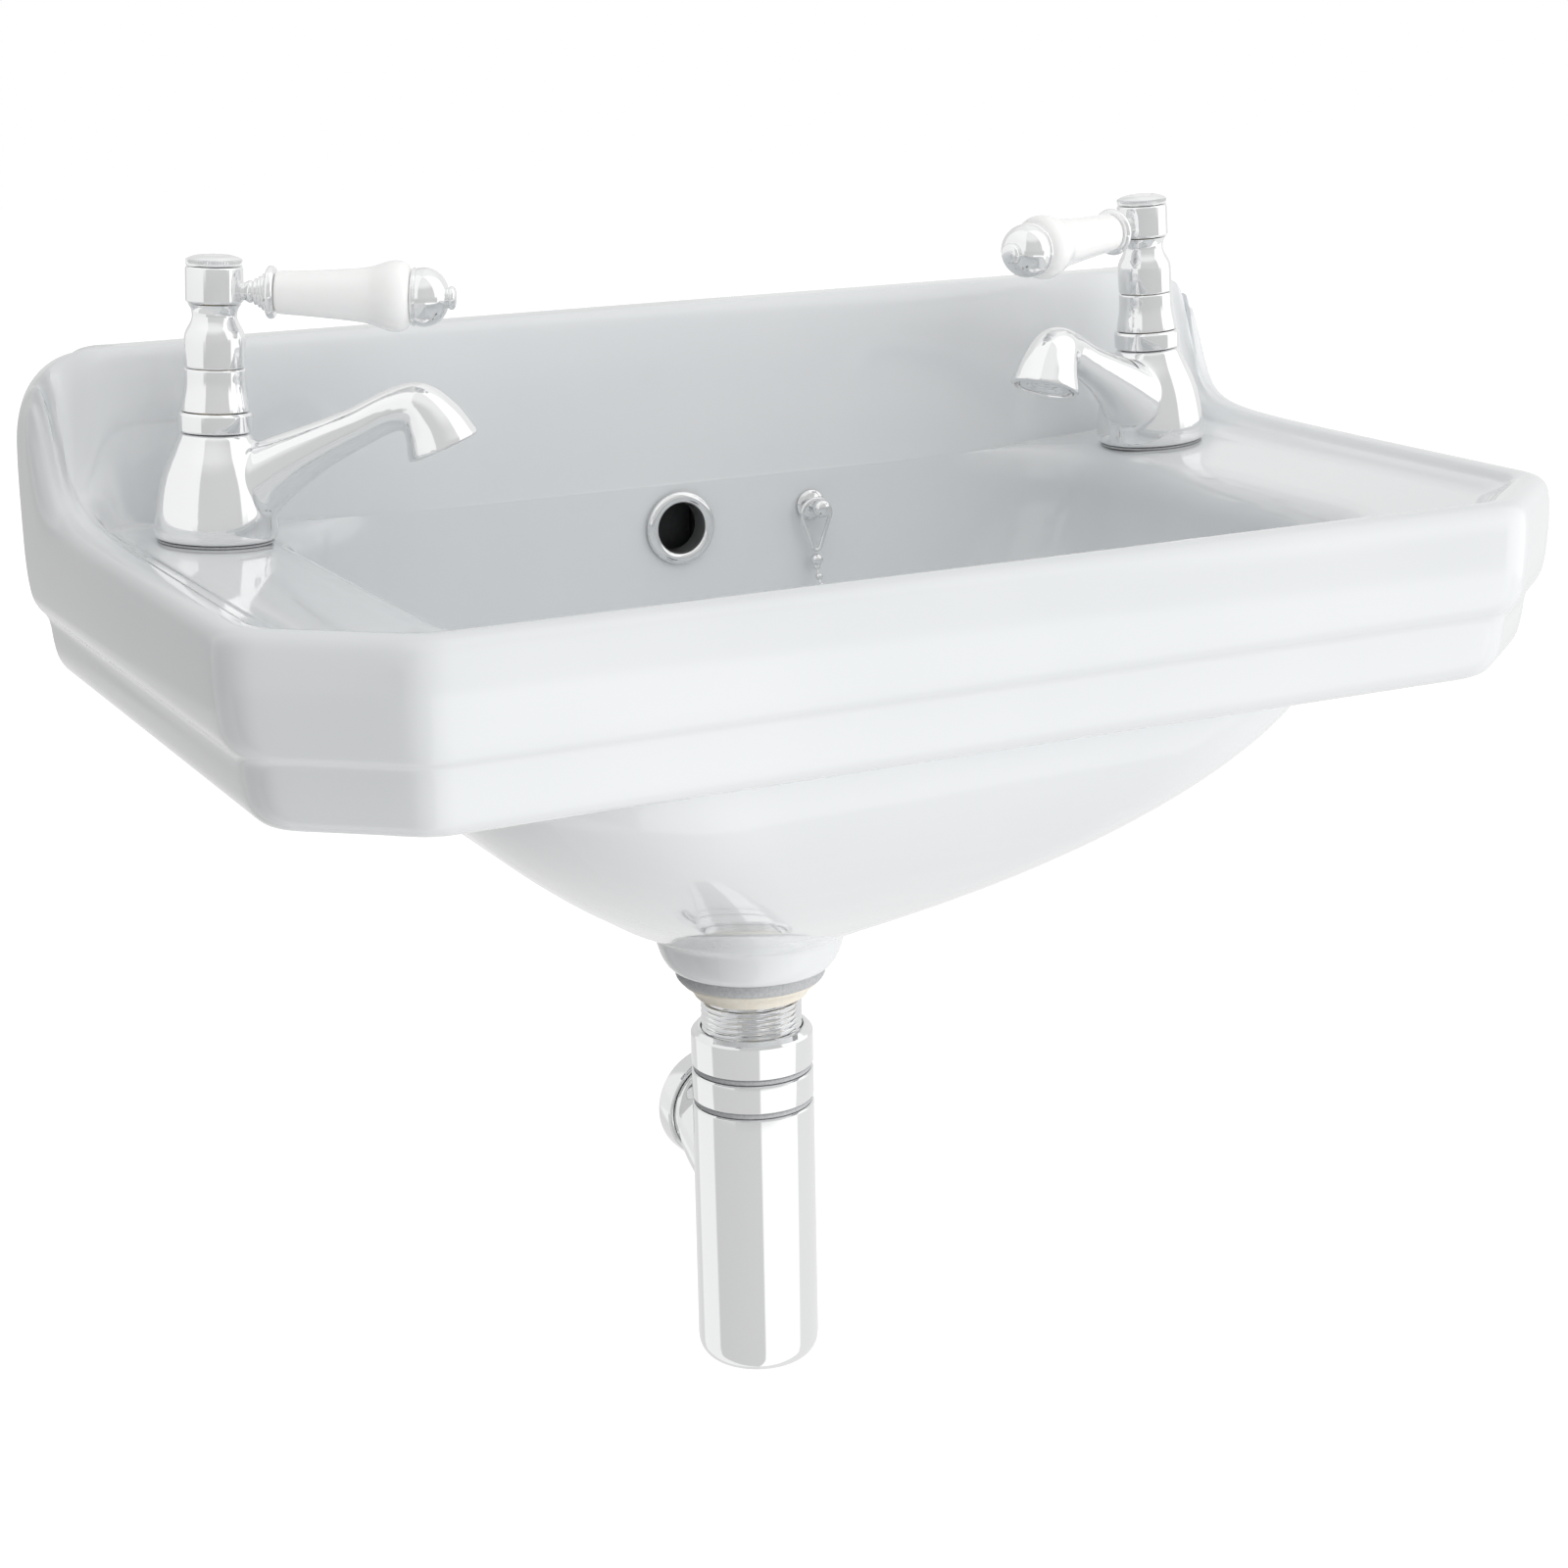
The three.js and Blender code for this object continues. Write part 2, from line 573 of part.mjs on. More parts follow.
function hub() {
  const drum = turned([
    [0, 98], [4.5, 98], [4.5, 88.5], [10.6, 88.5], [10.6, 101.9], [0, 101.9],
  ], SMALL_ROUND);
  const socket = rod(4.7, 6.5, 14, TINY_ROUND).rotateY(Math.PI / 2).translate(0, 0, LEVER_HEIGHT);
  return cut(drum, socket);
}

const indexCap = () => turned([
  [0, 102.2], [10.4, 102.2], [10.4, 103.8], [8.8, 105],
  [5, 105.9], [0, 106.2],
], 24);

// Lever pieces are turned about local X at the lever's height.
const onLever = (geometry) => geometry.rotateY(Math.PI / 2).translate(0, 0, LEVER_HEIGHT);

const leverStem = () => onLever(turned([
  [0, 6.8], [4.2, 6.8], [4.2, 12.8], [4.9, 13.2], [4.9, 16.4], [6.5, 17.4], [6.5, 20.8],
  [9.7, 21.1], [9.7, 22.3], [2.5, 22.3], [2.5, 75], [0, 75],
], SMALL_ROUND));

const leverHandle = () => onLever(turned([
  [2.8, 22.6], [7.5, 22.6], [8.4, 34], [10, 54], [12.4, 62.5],
  [13.1, 66], [12.9, 69], [9.8, 72.2], [2.8, 72.2],
], SMALL_ROUND));

const leverFinial = () => onLever(turned([
  [0, 75.4], [2.8, 75.4], [2.8, 72.6], [10.4, 72.6], [10.8, 76.4], [8.9, 81.3],
  [4, 84.7], [4.5, 86.8], [3, 88.6], [0, 89],
], SMALL_ROUND));

const sleeveWasher = () => turned([
  [10.6, -17.3], [16.4, -17.3], [16.4, -15.3], [12.6, -15.3], [12.6, -3], [10.6, -3],
], SMALL_ROUND);

function tailNut() {
  const hexagon = turned([[0, -26.6], [15.8, -26.6], [15.8, -17.6], [0, -17.6]], 6);
  return cut(hexagon, rod(10.6, -30, -10, SMALL_ROUND));
}

function addTap(side, label, leverTurn) {
  const frame = tapFrame(side);
  const leverFrame = tapFrame(side, leverTurn);
  const addIn = (matrix, name, geometry, look) => addPiece(
    `${label}_tap_${name}`, placed(geometry, matrix), look,
  );
  const add = (name, geometry, look) => addIn(frame, name, geometry, look);
  const addTurning = (name, geometry, look) => addIn(leverFrame, name, geometry, look);
  add('base_washer', pipe(21.8, 13.4, 0.3, 0.9, SMALL_ROUND), GREY_RUBBER);
  add('casting', tapCasting(), CHROME);
  add('nozzle', nozzleInsert(), CHROME);
  add('valve', valve(), BRASS);
  add('collar', bonnetCollar(), CHROME);
  add('lower_shroud', lowerShroud(), CHROME);
  add('upper_shroud', upperShroud(), CHROME);
  addTurning('spindle', spindle(), BRASS);
  addTurning('hub', hub(), CHROME);
  addTurning('index_cap', indexCap(), CHROME);
  addTurning('lever_stem', leverStem(), CHROME);
  addTurning('lever_handle', leverHandle(), PORCELAIN);
  addTurning('lever_finial', leverFinial(), CHROME);
  add('sleeve_washer', sleeveWasher(), WHITE_PLASTIC);
  add('tail_nut', tailNut(), BRASS);
}

addTap(-1, 'left', LEFT_LEVER_TURN);
addTap(1, 'right', RIGHT_LEVER_TURN);

// ---------------------------------------------------------------- chain and plug
const BEAD = 3.2;                  // bead diameter of the ball chain

function chainStay() {
  const stay = turned([
    [0, -12], [2.4, -12], [2.4, 0.3], [6.4, 0.3], [6.4, 1], [5, 1.9], [2.6, 2.2], [2.2, 3], [2.2, 8],
    [3.2, 8.8], [3.9, 10.4], [3.7, 12.2], [2.6, 13.6], [0, 14.1],
  ], TINY_ROUND);
  return stay.rotateX(Math.PI / 2).translate(...STAY);
}

// Pear-shaped link that hangs on the stay: a wide loop above, a small eye below.
const LINK_AT = [STAY[0], STAY[1] - 5.4, STAY[2] - 0.9];
const LINK_DROP = 16;

// Two half circles, a wide one above and a small one the given drop below it.
function pearOutline(top, bottom, drop) {
  const outline = [];
  const count = 10;
  for (let i = 0; i < 2 * count; i += 1) {
    const upper = i < count;
    const turn = Math.PI * (i + (upper ? 0 : 1)) / count;
    const radius = upper ? top : bottom;
    outline.push([radius * Math.cos(turn), radius * Math.sin(turn) - (upper ? 0 : drop)]);
  }
  return outline;
}

function chainLink() {
  const thickness = 1.6;
  const slab = (outline, width) => {
    const ring = (y) => outline.map(([x, z]) => [LINK_AT[0] + x, LINK_AT[1] + y, LINK_AT[2] + z]);
    return skinRings([ring(-width / 2), ring(width / 2)]);
  };
  return cut(slab(pearOutline(5, 2.6, LINK_DROP), thickness), slab(pearOutline(3.4, 1, LINK_DROP), 4));
}

const CONNECTOR = [LINK_AT[0], LINK_AT[1], LINK_AT[2] - LINK_DROP - 5.6];

function connector() {
  return moved(turned([
    [0, -2.7], [1.9, -2], [2.7, -0.2], [2.2, 1.6], [0.9, 2.3], [0, 2.4],
  ], TINY_ROUND), ...CONNECTOR);
}

// Where the plug lies on the bowl's sloping front floor.
const PLUG_AT = [34, -168.6, -149.2];
const PLUG_TILT = THREE.MathUtils.degToRad(-33.5);
const plugFrame = new THREE.Matrix4().makeTranslation(...PLUG_AT)
  .multiply(new THREE.Matrix4().makeRotationX(PLUG_TILT));

const plugBody = () => placed(turned([
  [0, 0.6], [16.2, 0.6], [17, 1.4], [18.6, 9.8], [19.4, 10.4], [19.4, 11.4], [17.6, 12.2], [3.4, 13],
  [2.6, 14], [2.6, 16], [0, 16.4],
], 24), plugFrame);

// The chain hangs from the stay, lies on the floor beyond the waste and runs up to the plug.
const CHAIN_ROUTE = [
  [61, -35.9, -53.3], [61, -39.2, -60], [60.5, -50, -74], [59.5, -64, -92], [57, -80, -110],
  [53, -97, -126], [47, -115, -140], [38, -131, -151], [26, -141, -157.5], [14, -146.5, -158.5],
  [8.4, -153.5, -156], [8, -160.5, -150.4],
  [9.6, -162.5, -144.6], [12.6, -161.6, -138.8], [18, -160.5, -136.6], [24, -160.2, -136.6],
  [30.7, -160.3, -136.7],
];

function beadChain() {
  const route = new THREE.CatmullRomCurve3(CHAIN_ROUTE.map((p) => new THREE.Vector3(...p)));
  const section = new THREE.Shape();
  const sides = 8;
  for (let i = 0; i < sides; i += 1) {
    const turn = (i / sides) * 2 * Math.PI;
    const point = [Math.cos(turn) * BEAD / 2, Math.sin(turn) * BEAD / 2];
    if (i === 0) section.moveTo(...point);
    else section.lineTo(...point);
  }
  section.closePath();
  return new THREE.ExtrudeGeometry(section, { extrudePath: route, steps: 56, bevelEnabled: false });
}

addPiece('chain_stay', chainStay(), CHROME);
addPiece('chain_link', chainLink(), CHROME);
addPiece('chain_connector', connector(), CHROME);
addPiece('bead_chain', beadChain(), CHROME);
addPiece('plug', plugBody(), BLACK_RUBBER);

export default basinSet;
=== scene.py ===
"""Wall-hung two-tap basin: detailed pieces, materials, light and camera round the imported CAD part.

Lists of sizes are in millimetres in each piece's own frame; meshes are made in metres.
"""
import json
import math

import bmesh
import bpy
from mathutils import Matrix, Vector


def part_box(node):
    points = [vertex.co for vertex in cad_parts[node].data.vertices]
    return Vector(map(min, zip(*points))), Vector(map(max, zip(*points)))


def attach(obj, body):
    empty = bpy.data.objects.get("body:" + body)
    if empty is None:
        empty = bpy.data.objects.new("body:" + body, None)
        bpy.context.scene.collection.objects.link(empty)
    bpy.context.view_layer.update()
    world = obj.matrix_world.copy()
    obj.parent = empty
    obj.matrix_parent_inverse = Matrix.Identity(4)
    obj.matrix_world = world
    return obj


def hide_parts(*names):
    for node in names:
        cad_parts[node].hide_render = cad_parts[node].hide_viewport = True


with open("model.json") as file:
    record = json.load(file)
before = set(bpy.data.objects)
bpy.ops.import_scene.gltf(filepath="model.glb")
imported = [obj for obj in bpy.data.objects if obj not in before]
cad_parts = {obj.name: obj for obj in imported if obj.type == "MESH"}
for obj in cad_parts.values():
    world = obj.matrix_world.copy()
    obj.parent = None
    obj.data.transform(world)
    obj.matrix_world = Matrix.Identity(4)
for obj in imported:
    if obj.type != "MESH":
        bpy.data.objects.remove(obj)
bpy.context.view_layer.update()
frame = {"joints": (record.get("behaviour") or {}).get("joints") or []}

MM = 0.001
ROOT = "basin_set"


def centre_of(node):
    """Middle of a CAD node's box, in millimetres."""
    low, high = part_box(node)
    return (Vector(low) + Vector(high)) / 2 / MM


def low_of(node):
    return Vector(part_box(node)[0]) / MM


def high_of(node):
    return Vector(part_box(node)[1]) / MM


# ---------------------------------------------------------------- driving sizes, from the CAD part
BASIN_LOW = low_of("basin")
BASIN_HIGH = high_of("basin")
HALF = BASIN_HIGH.x
DEPTH = -BASIN_LOW.y
BACK_RISE = BASIN_HIGH.z
WASTE_X, WASTE_Y = centre_of("waste_lower_washer").xy
OVERFLOW_Z = centre_of("overflow_ring").z
BOSS_END_Z = BASIN_LOW.z
JOINTS = {joint["name"]: joint for joint in frame["joints"]}
LEVER_HEIGHT = 93                    # lever axis over the deck, along the tap's axis
CAMERA_AZIMUTH = 26.47               # degrees from straight at the wall, looking round to the right


# ---------------------------------------------------------------- camera
def make_camera():
    """Camera at the photograph's viewing angle, a long lens a little over a metre away."""
    azimuth = math.radians(CAMERA_AZIMUTH)
    pitch = math.radians(14.12)
    roll = math.radians(-1.17)
    ahead = Vector((
        math.sin(azimuth) * math.cos(pitch),
        math.cos(azimuth) * math.cos(pitch),
        -math.sin(pitch),
    ))
    data = bpy.data.cameras.new("camera")
    data.lens = 70.24
    data.sensor_width = 36
    data.shift_x = 0.0068
    data.shift_y = -0.0489
    camera = bpy.data.objects.new("camera", data)
    bpy.context.scene.collection.objects.link(camera)
    camera.rotation_mode = "QUATERNION"
    turn = ahead.to_track_quat("-Z", "Y")
    camera.rotation_quaternion = turn @ Matrix.Rotation(roll, 3, "Z").to_quaternion()
    camera.location = (-0.5243, -1.1672, 0.2058)
    bpy.context.scene.camera = camera


make_camera()


# ---------------------------------------------------------------- materials
def new_material(name, base, roughness, metallic=0.0):
    material = bpy.data.materials.new(name)
    material.use_nodes = True
    shader = material.node_tree.nodes["Principled BSDF"]
    shader.inputs["Base Color"].default_value = (*base, 1)
    shader.inputs["Roughness"].default_value = roughness
    shader.inputs["Metallic"].default_value = metallic
    return material, shader


def noise(material, scale, detail=3.0, stretch=(1, 1, 1)):
    """Noise in the object's own coordinates; scale is in features per metre."""
    tree = material.node_tree
    place = tree.nodes.new("ShaderNodeTexCoord")
    mapping = tree.nodes.new("ShaderNodeMapping")
    mapping.inputs["Scale"].default_value = stretch
    texture = tree.nodes.new("ShaderNodeTexNoise")
    texture.inputs["Scale"].default_value = scale
    texture.inputs["Detail"].default_value = detail
    tree.links.new(place.outputs["Object"], mapping.inputs["Vector"])
    tree.links.new(mapping.outputs["Vector"], texture.inputs["Vector"])
    return texture.outputs["Fac"]


def vary(material, source, low, high, target):
    """Drive a socket between two values."""
    tree = material.node_tree
    node = tree.nodes.new("ShaderNodeMapRange")
    node.inputs["From Min"].default_value = 0.3
    node.inputs["From Max"].default_value = 0.7
    node.inputs["To Min"].default_value = low
    node.inputs["To Max"].default_value = high
    tree.links.new(source, node.inputs["Value"])
    tree.links.new(node.outputs["Result"], target)


def tint(material, source, dark, light, target):
    """Drive a colour socket between two colours."""
    tree = material.node_tree
    ramp = tree.nodes.new("ShaderNodeValToRGB")
    ramp.color_ramp.elements[0].position = 0.35
    ramp.color_ramp.elements[0].color = (*dark, 1)
    ramp.color_ramp.elements[1].position = 0.65
    ramp.color_ramp.elements[1].color = (*light, 1)
    tree.links.new(source, ramp.inputs["Fac"])
    tree.links.new(ramp.outputs["Color"], target)


def relief(material, source, distance, strength, shader):
    """Bump of the given depth in metres."""
    tree = material.node_tree
    bump = tree.nodes.new("ShaderNodeBump")
    bump.inputs["Strength"].default_value = strength
    bump.inputs["Distance"].default_value = distance
    tree.links.new(source, bump.inputs["Height"])
    tree.links.new(bump.outputs["Normal"], shader.inputs["Normal"])


def glaze():
    """Thick white glaze: a clear coat over white china, with slow waves in it."""
    material, shader = new_material("china_glaze", (0.835, 0.855, 0.868), 0.1)
    shader.inputs["Coat Weight"].default_value = 0.6
    shader.inputs["Coat Roughness"].default_value = 0.012
    tint(material, noise(material, 9, 2), (0.828, 0.85, 0.864), (0.854, 0.872, 0.884),
         shader.inputs["Base Color"])
    vary(material, noise(material, 140), 0.07, 0.12, shader.inputs["Roughness"])
    relief(material, noise(material, 26, 2), 0.0006, 0.05, shader)
    return material


def chrome(name, tone, metallic):
    material, shader = new_material(name, (tone, tone + 0.004, tone + 0.008), 0.04, metallic)
    vary(material, noise(material, 320), 0.025, 0.06, shader.inputs["Roughness"])
    relief(material, noise(material, 90, 2), 0.0002, 0.05, shader)
    return material


def machined_chrome():
    """Plated thread: rougher, with fine tool marks round the axis."""
    material, shader = new_material("machined_chrome", (0.78, 0.785, 0.79), 0.12, 1.0)
    marks = noise(material, 60, 4, (1, 1, 30))
    vary(material, marks, 0.08, 0.18, shader.inputs["Roughness"])
    relief(material, marks, 0.00005, 0.15, shader)
    return material


def brass():
    material, shader = new_material("raw_brass", (0.72, 0.53, 0.25), 0.3, 1.0)
    marks = noise(material, 200, 4)
    tint(material, marks, (0.62, 0.45, 0.2), (0.78, 0.6, 0.3), shader.inputs["Base Color"])
    vary(material, marks, 0.22, 0.42, shader.inputs["Roughness"])
    return material


def porcelain():
    material, shader = new_material("porcelain", (0.97, 0.965, 0.955), 0.2)
    shader.inputs["Coat Weight"].default_value = 0.8
    shader.inputs["Coat Roughness"].default_value = 0.05
    shader.inputs["Subsurface Weight"].default_value = 0.15
    shader.inputs["Subsurface Radius"].default_value = (0.004, 0.004, 0.003)
    tint(material, noise(material, 60, 2), (0.955, 0.95, 0.94), (0.98, 0.977, 0.97),
         shader.inputs["Base Color"])
    relief(material, noise(material, 70, 2), 0.0003, 0.08, shader)
    # Painted light: a faint white glow, so the grip reads brighter than its lighting makes it.
    shader.inputs["Emission Color"].default_value = (1, 1, 0.99, 1)
    shader.inputs["Emission Strength"].default_value = 0.12
    return material


def rubber(name, dark, light, roughness):
    material, shader = new_material(name, light, roughness)
    grain = noise(material, 900, 4)
    tint(material, grain, dark, light, shader.inputs["Base Color"])
    vary(material, noise(material, 150), roughness - 0.08, roughness + 0.1, shader.inputs["Roughness"])
    relief(material, grain, 0.0001, 0.4, shader)
    return material


def plastic(name, dark, light, roughness):
    material, shader = new_material(name, light, roughness)
    grain = noise(material, 500, 3)
    tint(material, grain, dark, light, shader.inputs["Base Color"])
    relief(material, grain, 0.00008, 0.25, shader)
    return material


CHINA = glaze()
CHROME = chrome("chrome_plate", 0.82, 0.88)
# Painted light: a lighter, less metallic copy of the chrome plate for the taps, so they read whiter than
# their reflections make them.
LIGHTENED_CHROME = chrome("chrome_plate_painted_light", 0.9, 0.82)
THREAD = machined_chrome()
BRASS = brass()
PORCELAIN = porcelain()
GREY_RUBBER = rubber("grey_rubber", (0.48, 0.49, 0.5), (0.58, 0.59, 0.6), 0.5)
BLACK_RUBBER = rubber("black_rubber", (0.018, 0.018, 0.02), (0.035, 0.035, 0.038), 0.45)
CREAM = plastic("cream_plastic", (0.88, 0.82, 0.7), (0.93, 0.88, 0.78), 0.45)
# Painted shade: a near-black look for the faces inside the overflow's hole and duct, standing in for the
# shade there.
PAINTED_DUCT_SHADE = plastic("painted_shade_duct", (0.006, 0.007, 0.008), (0.012, 0.013, 0.015), 0.6)
WHITE = plastic("white_plastic", (0.72, 0.72, 0.71), (0.8, 0.8, 0.79), 0.4)


# ---------------------------------------------------------------- mesh helpers
def piece(name, points, faces, look, body=ROOT, sharp=35, nodes=()):
    """Object from points in millimetres, riding on a CAD body unless it is only a tool."""
    mesh = bpy.data.meshes.new(name)
    mesh.from_pydata([[c * MM for c in p] for p in points], [], faces)
    work = bmesh.new()
    work.from_mesh(mesh)
    bmesh.ops.recalc_face_normals(work, faces=work.faces)
    work.to_mesh(mesh)
    work.free()
    thing = bpy.data.objects.new(name, mesh)
    bpy.context.scene.collection.objects.link(thing)
    mesh.materials.append(look)
    smooth(mesh, sharp)
    if body:
        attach(thing, body)
    if nodes:
        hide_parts(*nodes)
    return thing


def smooth(mesh, sharp):
    mesh.polygons.foreach_set("use_smooth", [True] * len(mesh.polygons))
    mesh.set_sharp_from_angle(angle=math.radians(sharp))


def skin(rings, closed_loop=False):
    """Faces over closed rings; capped at both ends unless the rings join up in a loop."""
    count = len(rings[0])
    points = [p for ring in rings for p in ring]
    faces = []
    pairs = len(rings) if closed_loop else len(rings) - 1
    for r in range(pairs):
        low = r * count
        high = (r + 1) % len(rings) * count
        for i in range(count):
            j = (i + 1) % count
            faces.append((low + i, low + j, high + j, high + i))
    if not closed_loop:
        faces.append(tuple(range(count)))
        faces.append(tuple((len(rings) - 1) * count + i for i in range(count)))
    return points, faces


def catmull(before, start, end, after, t):
    """Centripetal spline between start and end."""
    p = [Vector(v) for v in (before, start, end, after)]
    knots = [0.0]
    for a, b in zip(p, p[1:]):
        knots.append(knots[-1] + max((b - a).length, 1e-6) ** 0.5)
    u = knots[1] + (knots[2] - knots[1]) * t

    def mix(a, b, ua, ub):
        return a * ((ub - u) / (ub - ua)) + b * ((u - ua) / (ub - ua))

    a1 = mix(p[0], p[1], knots[0], knots[1])
    a2 = mix(p[1], p[2], knots[1], knots[2])
    a3 = mix(p[2], p[3], knots[2], knots[3])
    b1 = mix(a1, a2, knots[0], knots[2])
    b2 = mix(a2, a3, knots[1], knots[3])
    return mix(b1, b2, knots[1], knots[2])


def through(points, per=5):
    """Points on a smooth curve through the given ones."""
    result = []
    for i in range(len(points) - 1):
        before = points[i - 1] if i else [2 * a - b for a, b in zip(points[0], points[1])]
        after = (points[i + 2] if i + 2 < len(points)
                 else [2 * a - b for a, b in zip(points[-1], points[-2])])
        for k in range(per):
            result.append(tuple(catmull(before, points[i], points[i + 1], after, k / per)))
    result.append(tuple(points[-1]))
    return result


def rounded(points, radius, closed=False, steps=4):
    """Profile with every real corner rounded by at most the given radius."""
    count = len(points)
    result = []
    for i, p in enumerate(points):
        if not closed and i in (0, count - 1):
            result.append(tuple(p))
            continue
        here = Vector(p)
        back = Vector(points[i - 1]) - here
        on = Vector(points[(i + 1) % count]) - here
        if back.length < 1e-6 or on.length < 1e-6:
            continue
        turn = math.pi - back.angle(on)
        if turn < math.radians(12):
            result.append(tuple(p))
            continue
        reach = min(radius * math.tan(turn / 2), back.length * 0.45, on.length * 0.45)
        first = here + back.normalized() * reach
        last = here + on.normalized() * reach
        for k in range(steps + 1):
            t = k / steps
            result.append(tuple(first * (1 - t) ** 2 + here * 2 * t * (1 - t) + last * t * t))
    return result


def circle(radius, count):
    angles = [2 * math.pi * i / count for i in range(count)]
    return [(radius * math.cos(a), radius * math.sin(a)) for a in angles]


def turned(profile, facets=96):
    """Points and faces of a profile of (radius, height) turned about the local Z axis."""
    closed = profile[0][0] > 1e-6 or profile[-1][0] > 1e-6
    points = []
    rows = []
    for radius, height in profile:
        if radius < 1e-6:
            rows.append([len(points)] * facets)
            points.append((0, 0, height))
            continue
        rows.append([len(points) + i for i in range(facets)])
        points += [(x, y, height) for x, y in circle(radius, facets)]
    faces = []
    pairs = len(rows) if closed else len(rows) - 1
    for r in range(pairs):
        low, high = rows[r], rows[(r + 1) % len(rows)]
        for i in range(facets):
            j = (i + 1) % facets
            ring = [low[i], low[j], high[j], high[i]]
            face = [v for k, v in enumerate(ring) if v not in ring[:k]]
            if len(face) > 2:
                faces.append(face)
    return points, faces


def cylinder(radius, low, high, facets):
    return turned([(0, low), (radius, low), (radius, high), (0, high)], facets)


def placed(shape, matrix):
    points, faces = shape
    return [tuple(matrix @ Vector(p)) for p in points], faces


def turned_piece(name, profile, look, matrix, fillet=0.4, facets=96, **rest):
    closed = profile[0][0] > 1e-6 or profile[-1][0] > 1e-6
    shape = placed(turned(rounded(profile, fillet, closed), facets), matrix)
    return piece(name, *shape, look, **rest)


def combine(thing, tool, operation):
    """Apply a boolean and throw the tool away."""
    modifier = thing.modifiers.new("cut", "BOOLEAN")
    modifier.operation = operation
    modifier.solver = "EXACT"
    modifier.object = tool
    apply_modifiers(thing)
    bpy.data.objects.remove(tool)


def apply_modifiers(thing):
    graph = bpy.context.evaluated_depsgraph_get()
    made = bpy.data.meshes.new_from_object(thing.evaluated_get(graph))
    old = thing.data
    thing.modifiers.clear()
    thing.data = made
    bpy.data.meshes.remove(old)


def soften(thing, width, segments=4):
    modifier = thing.modifiers.new("soft", "BEVEL")
    modifier.width = width * MM
    modifier.segments = segments
    apply_modifiers(thing)


def tool_from(shape):
    return piece("tool", *shape, CHINA, body=None)


def cut(thing, shape, softness=0):
    """Take a shape, with its edges softened or not, away from a piece."""
    tool = tool_from(shape)
    if softness:
        soften(tool, softness)
    combine(thing, tool, "DIFFERENCE")


def dress(thing, looks, sharp):
    """Materials and shading of a piece again, after modifiers have changed it."""
    thing.data.materials.clear()
    for look in looks:
        thing.data.materials.append(look)
    smooth(thing.data, sharp)


# ---------------------------------------------------------------- basin
CHAMFER = (51, 44)                   # of a front corner, along X and along Y
CHAMFER_ROUND = 24
CORNER_LOSS = 0.586                  # what a corner's leg loses for each unit of inset
CORNER_ROUND = 32                    # upper corners of the upstand
SHELF = 18                           # level top of the upstand
SWEEP = 11                           # the rim falls half-way within this distance
SWEEP_POWER = 2.2
BOWL_HALF = 187
MOUTH_ROUND = 54
DECK_INNER = BOWL_HALF - MOUTH_ROUND
BAND_END_Z = -68.5
BOWL_TOP_Z = -24
FLOOR_Z = -178
HULL_TOP_Z = -66
HULL_END_Z = -192
WASTE_HOLE = 22.5
TAP_HOLE = 13
OVERFLOW_HOLE = 12
DUCT_HALF = 11
DUCT_TOP_Z = OVERFLOW_Z + 13
RIGHT_TURN = JOINTS["right_lever_turn"]


def tap_axis(joint):
    return Vector(joint["axis"]).normalized()


def tap_base(joint):
    """Where a tap's axis meets its deck, in millimetres."""
    return Vector(joint["pos_m"]) / MM - tap_axis(joint) * LEVER_HEIGHT


DECK_SLOPE = math.acos(tap_axis(RIGHT_TURN).z)
TAP_X = tap_base(RIGHT_TURN).x
DECK_Z = tap_base(RIGHT_TURN).z


def corner_arc(a, b, c, radius, count):
    """Arc that rounds the corner at b between a and c."""
    pa, pb, pc = Vector(a), Vector(b), Vector(c)
    to_a = (pa - pb).normalized()
    to_c = (pc - pb).normalized()
    half_angle = to_a.angle(to_c) / 2
    middle = pb + (to_a + to_c).normalized() * radius / math.sin(half_angle)
    start = pb + to_a * radius / math.tan(half_angle) - middle
    sweep = math.copysign(math.pi - 2 * half_angle, to_c.x * to_a.y - to_c.y * to_a.x)
    arc = []
    for i in range(count):
        angle = sweep * i / (count - 1)
        x = start.x * math.cos(angle) - start.y * math.sin(angle)
        y = start.x * math.sin(angle) + start.y * math.cos(angle)
        arc.append((middle.x + x, middle.y + y))
    return arc


def plan_outline(half, back, front, chamfer, chamfer_round, back_round):
    """Closed plan: straight back, two sides, chamfered and rounded front corners."""
    back_arc = corner_arc((0, back), (half, back), (half, front), back_round, 13)
    bend1 = (half, front + chamfer[1])
    bend2 = (half - chamfer[0], front)
    arc1 = corner_arc((half, back), bend1, bend2, chamfer_round, 9)
    arc2 = corner_arc(bend1, bend2, (0, front), chamfer_round, 9)

    def between(a, b, count, power=1.0):
        return [(a[0] + (b[0] - a[0]) * (i / (count + 1)) ** power,
                 a[1] + (b[1] - a[1]) * (i / (count + 1)) ** power) for i in range(1, count + 1)]

    right = between((0, back), back_arc[0], 14) + back_arc
    right += between(back_arc[-1], arc1[0], 44, 1.6) + arc1
    right += between(arc1[-1], arc2[0], 5) + arc2
    right += between(arc2[-1], (0, front), 18)
    left = [(-x, y) for x, y in reversed(right)]
    return [(0, back)] + right + [(0, front)] + left


def inset_outline(inset, back_inset, side_extra=0):
    shrink = CORNER_LOSS * inset
    return plan_outline(
        HALF - inset - side_extra, -back_inset, -DEPTH + inset,
        [leg - shrink for leg in CHAMFER], max(CHAMFER_ROUND - 0.3 * inset, 6),
        3 + 0.9 * min(back_inset, 22))


def round_outline(half, back, front, radius):
    leg = CORNER_LOSS * radius
    return plan_outline(half, back, front, (leg, leg), radius, radius)


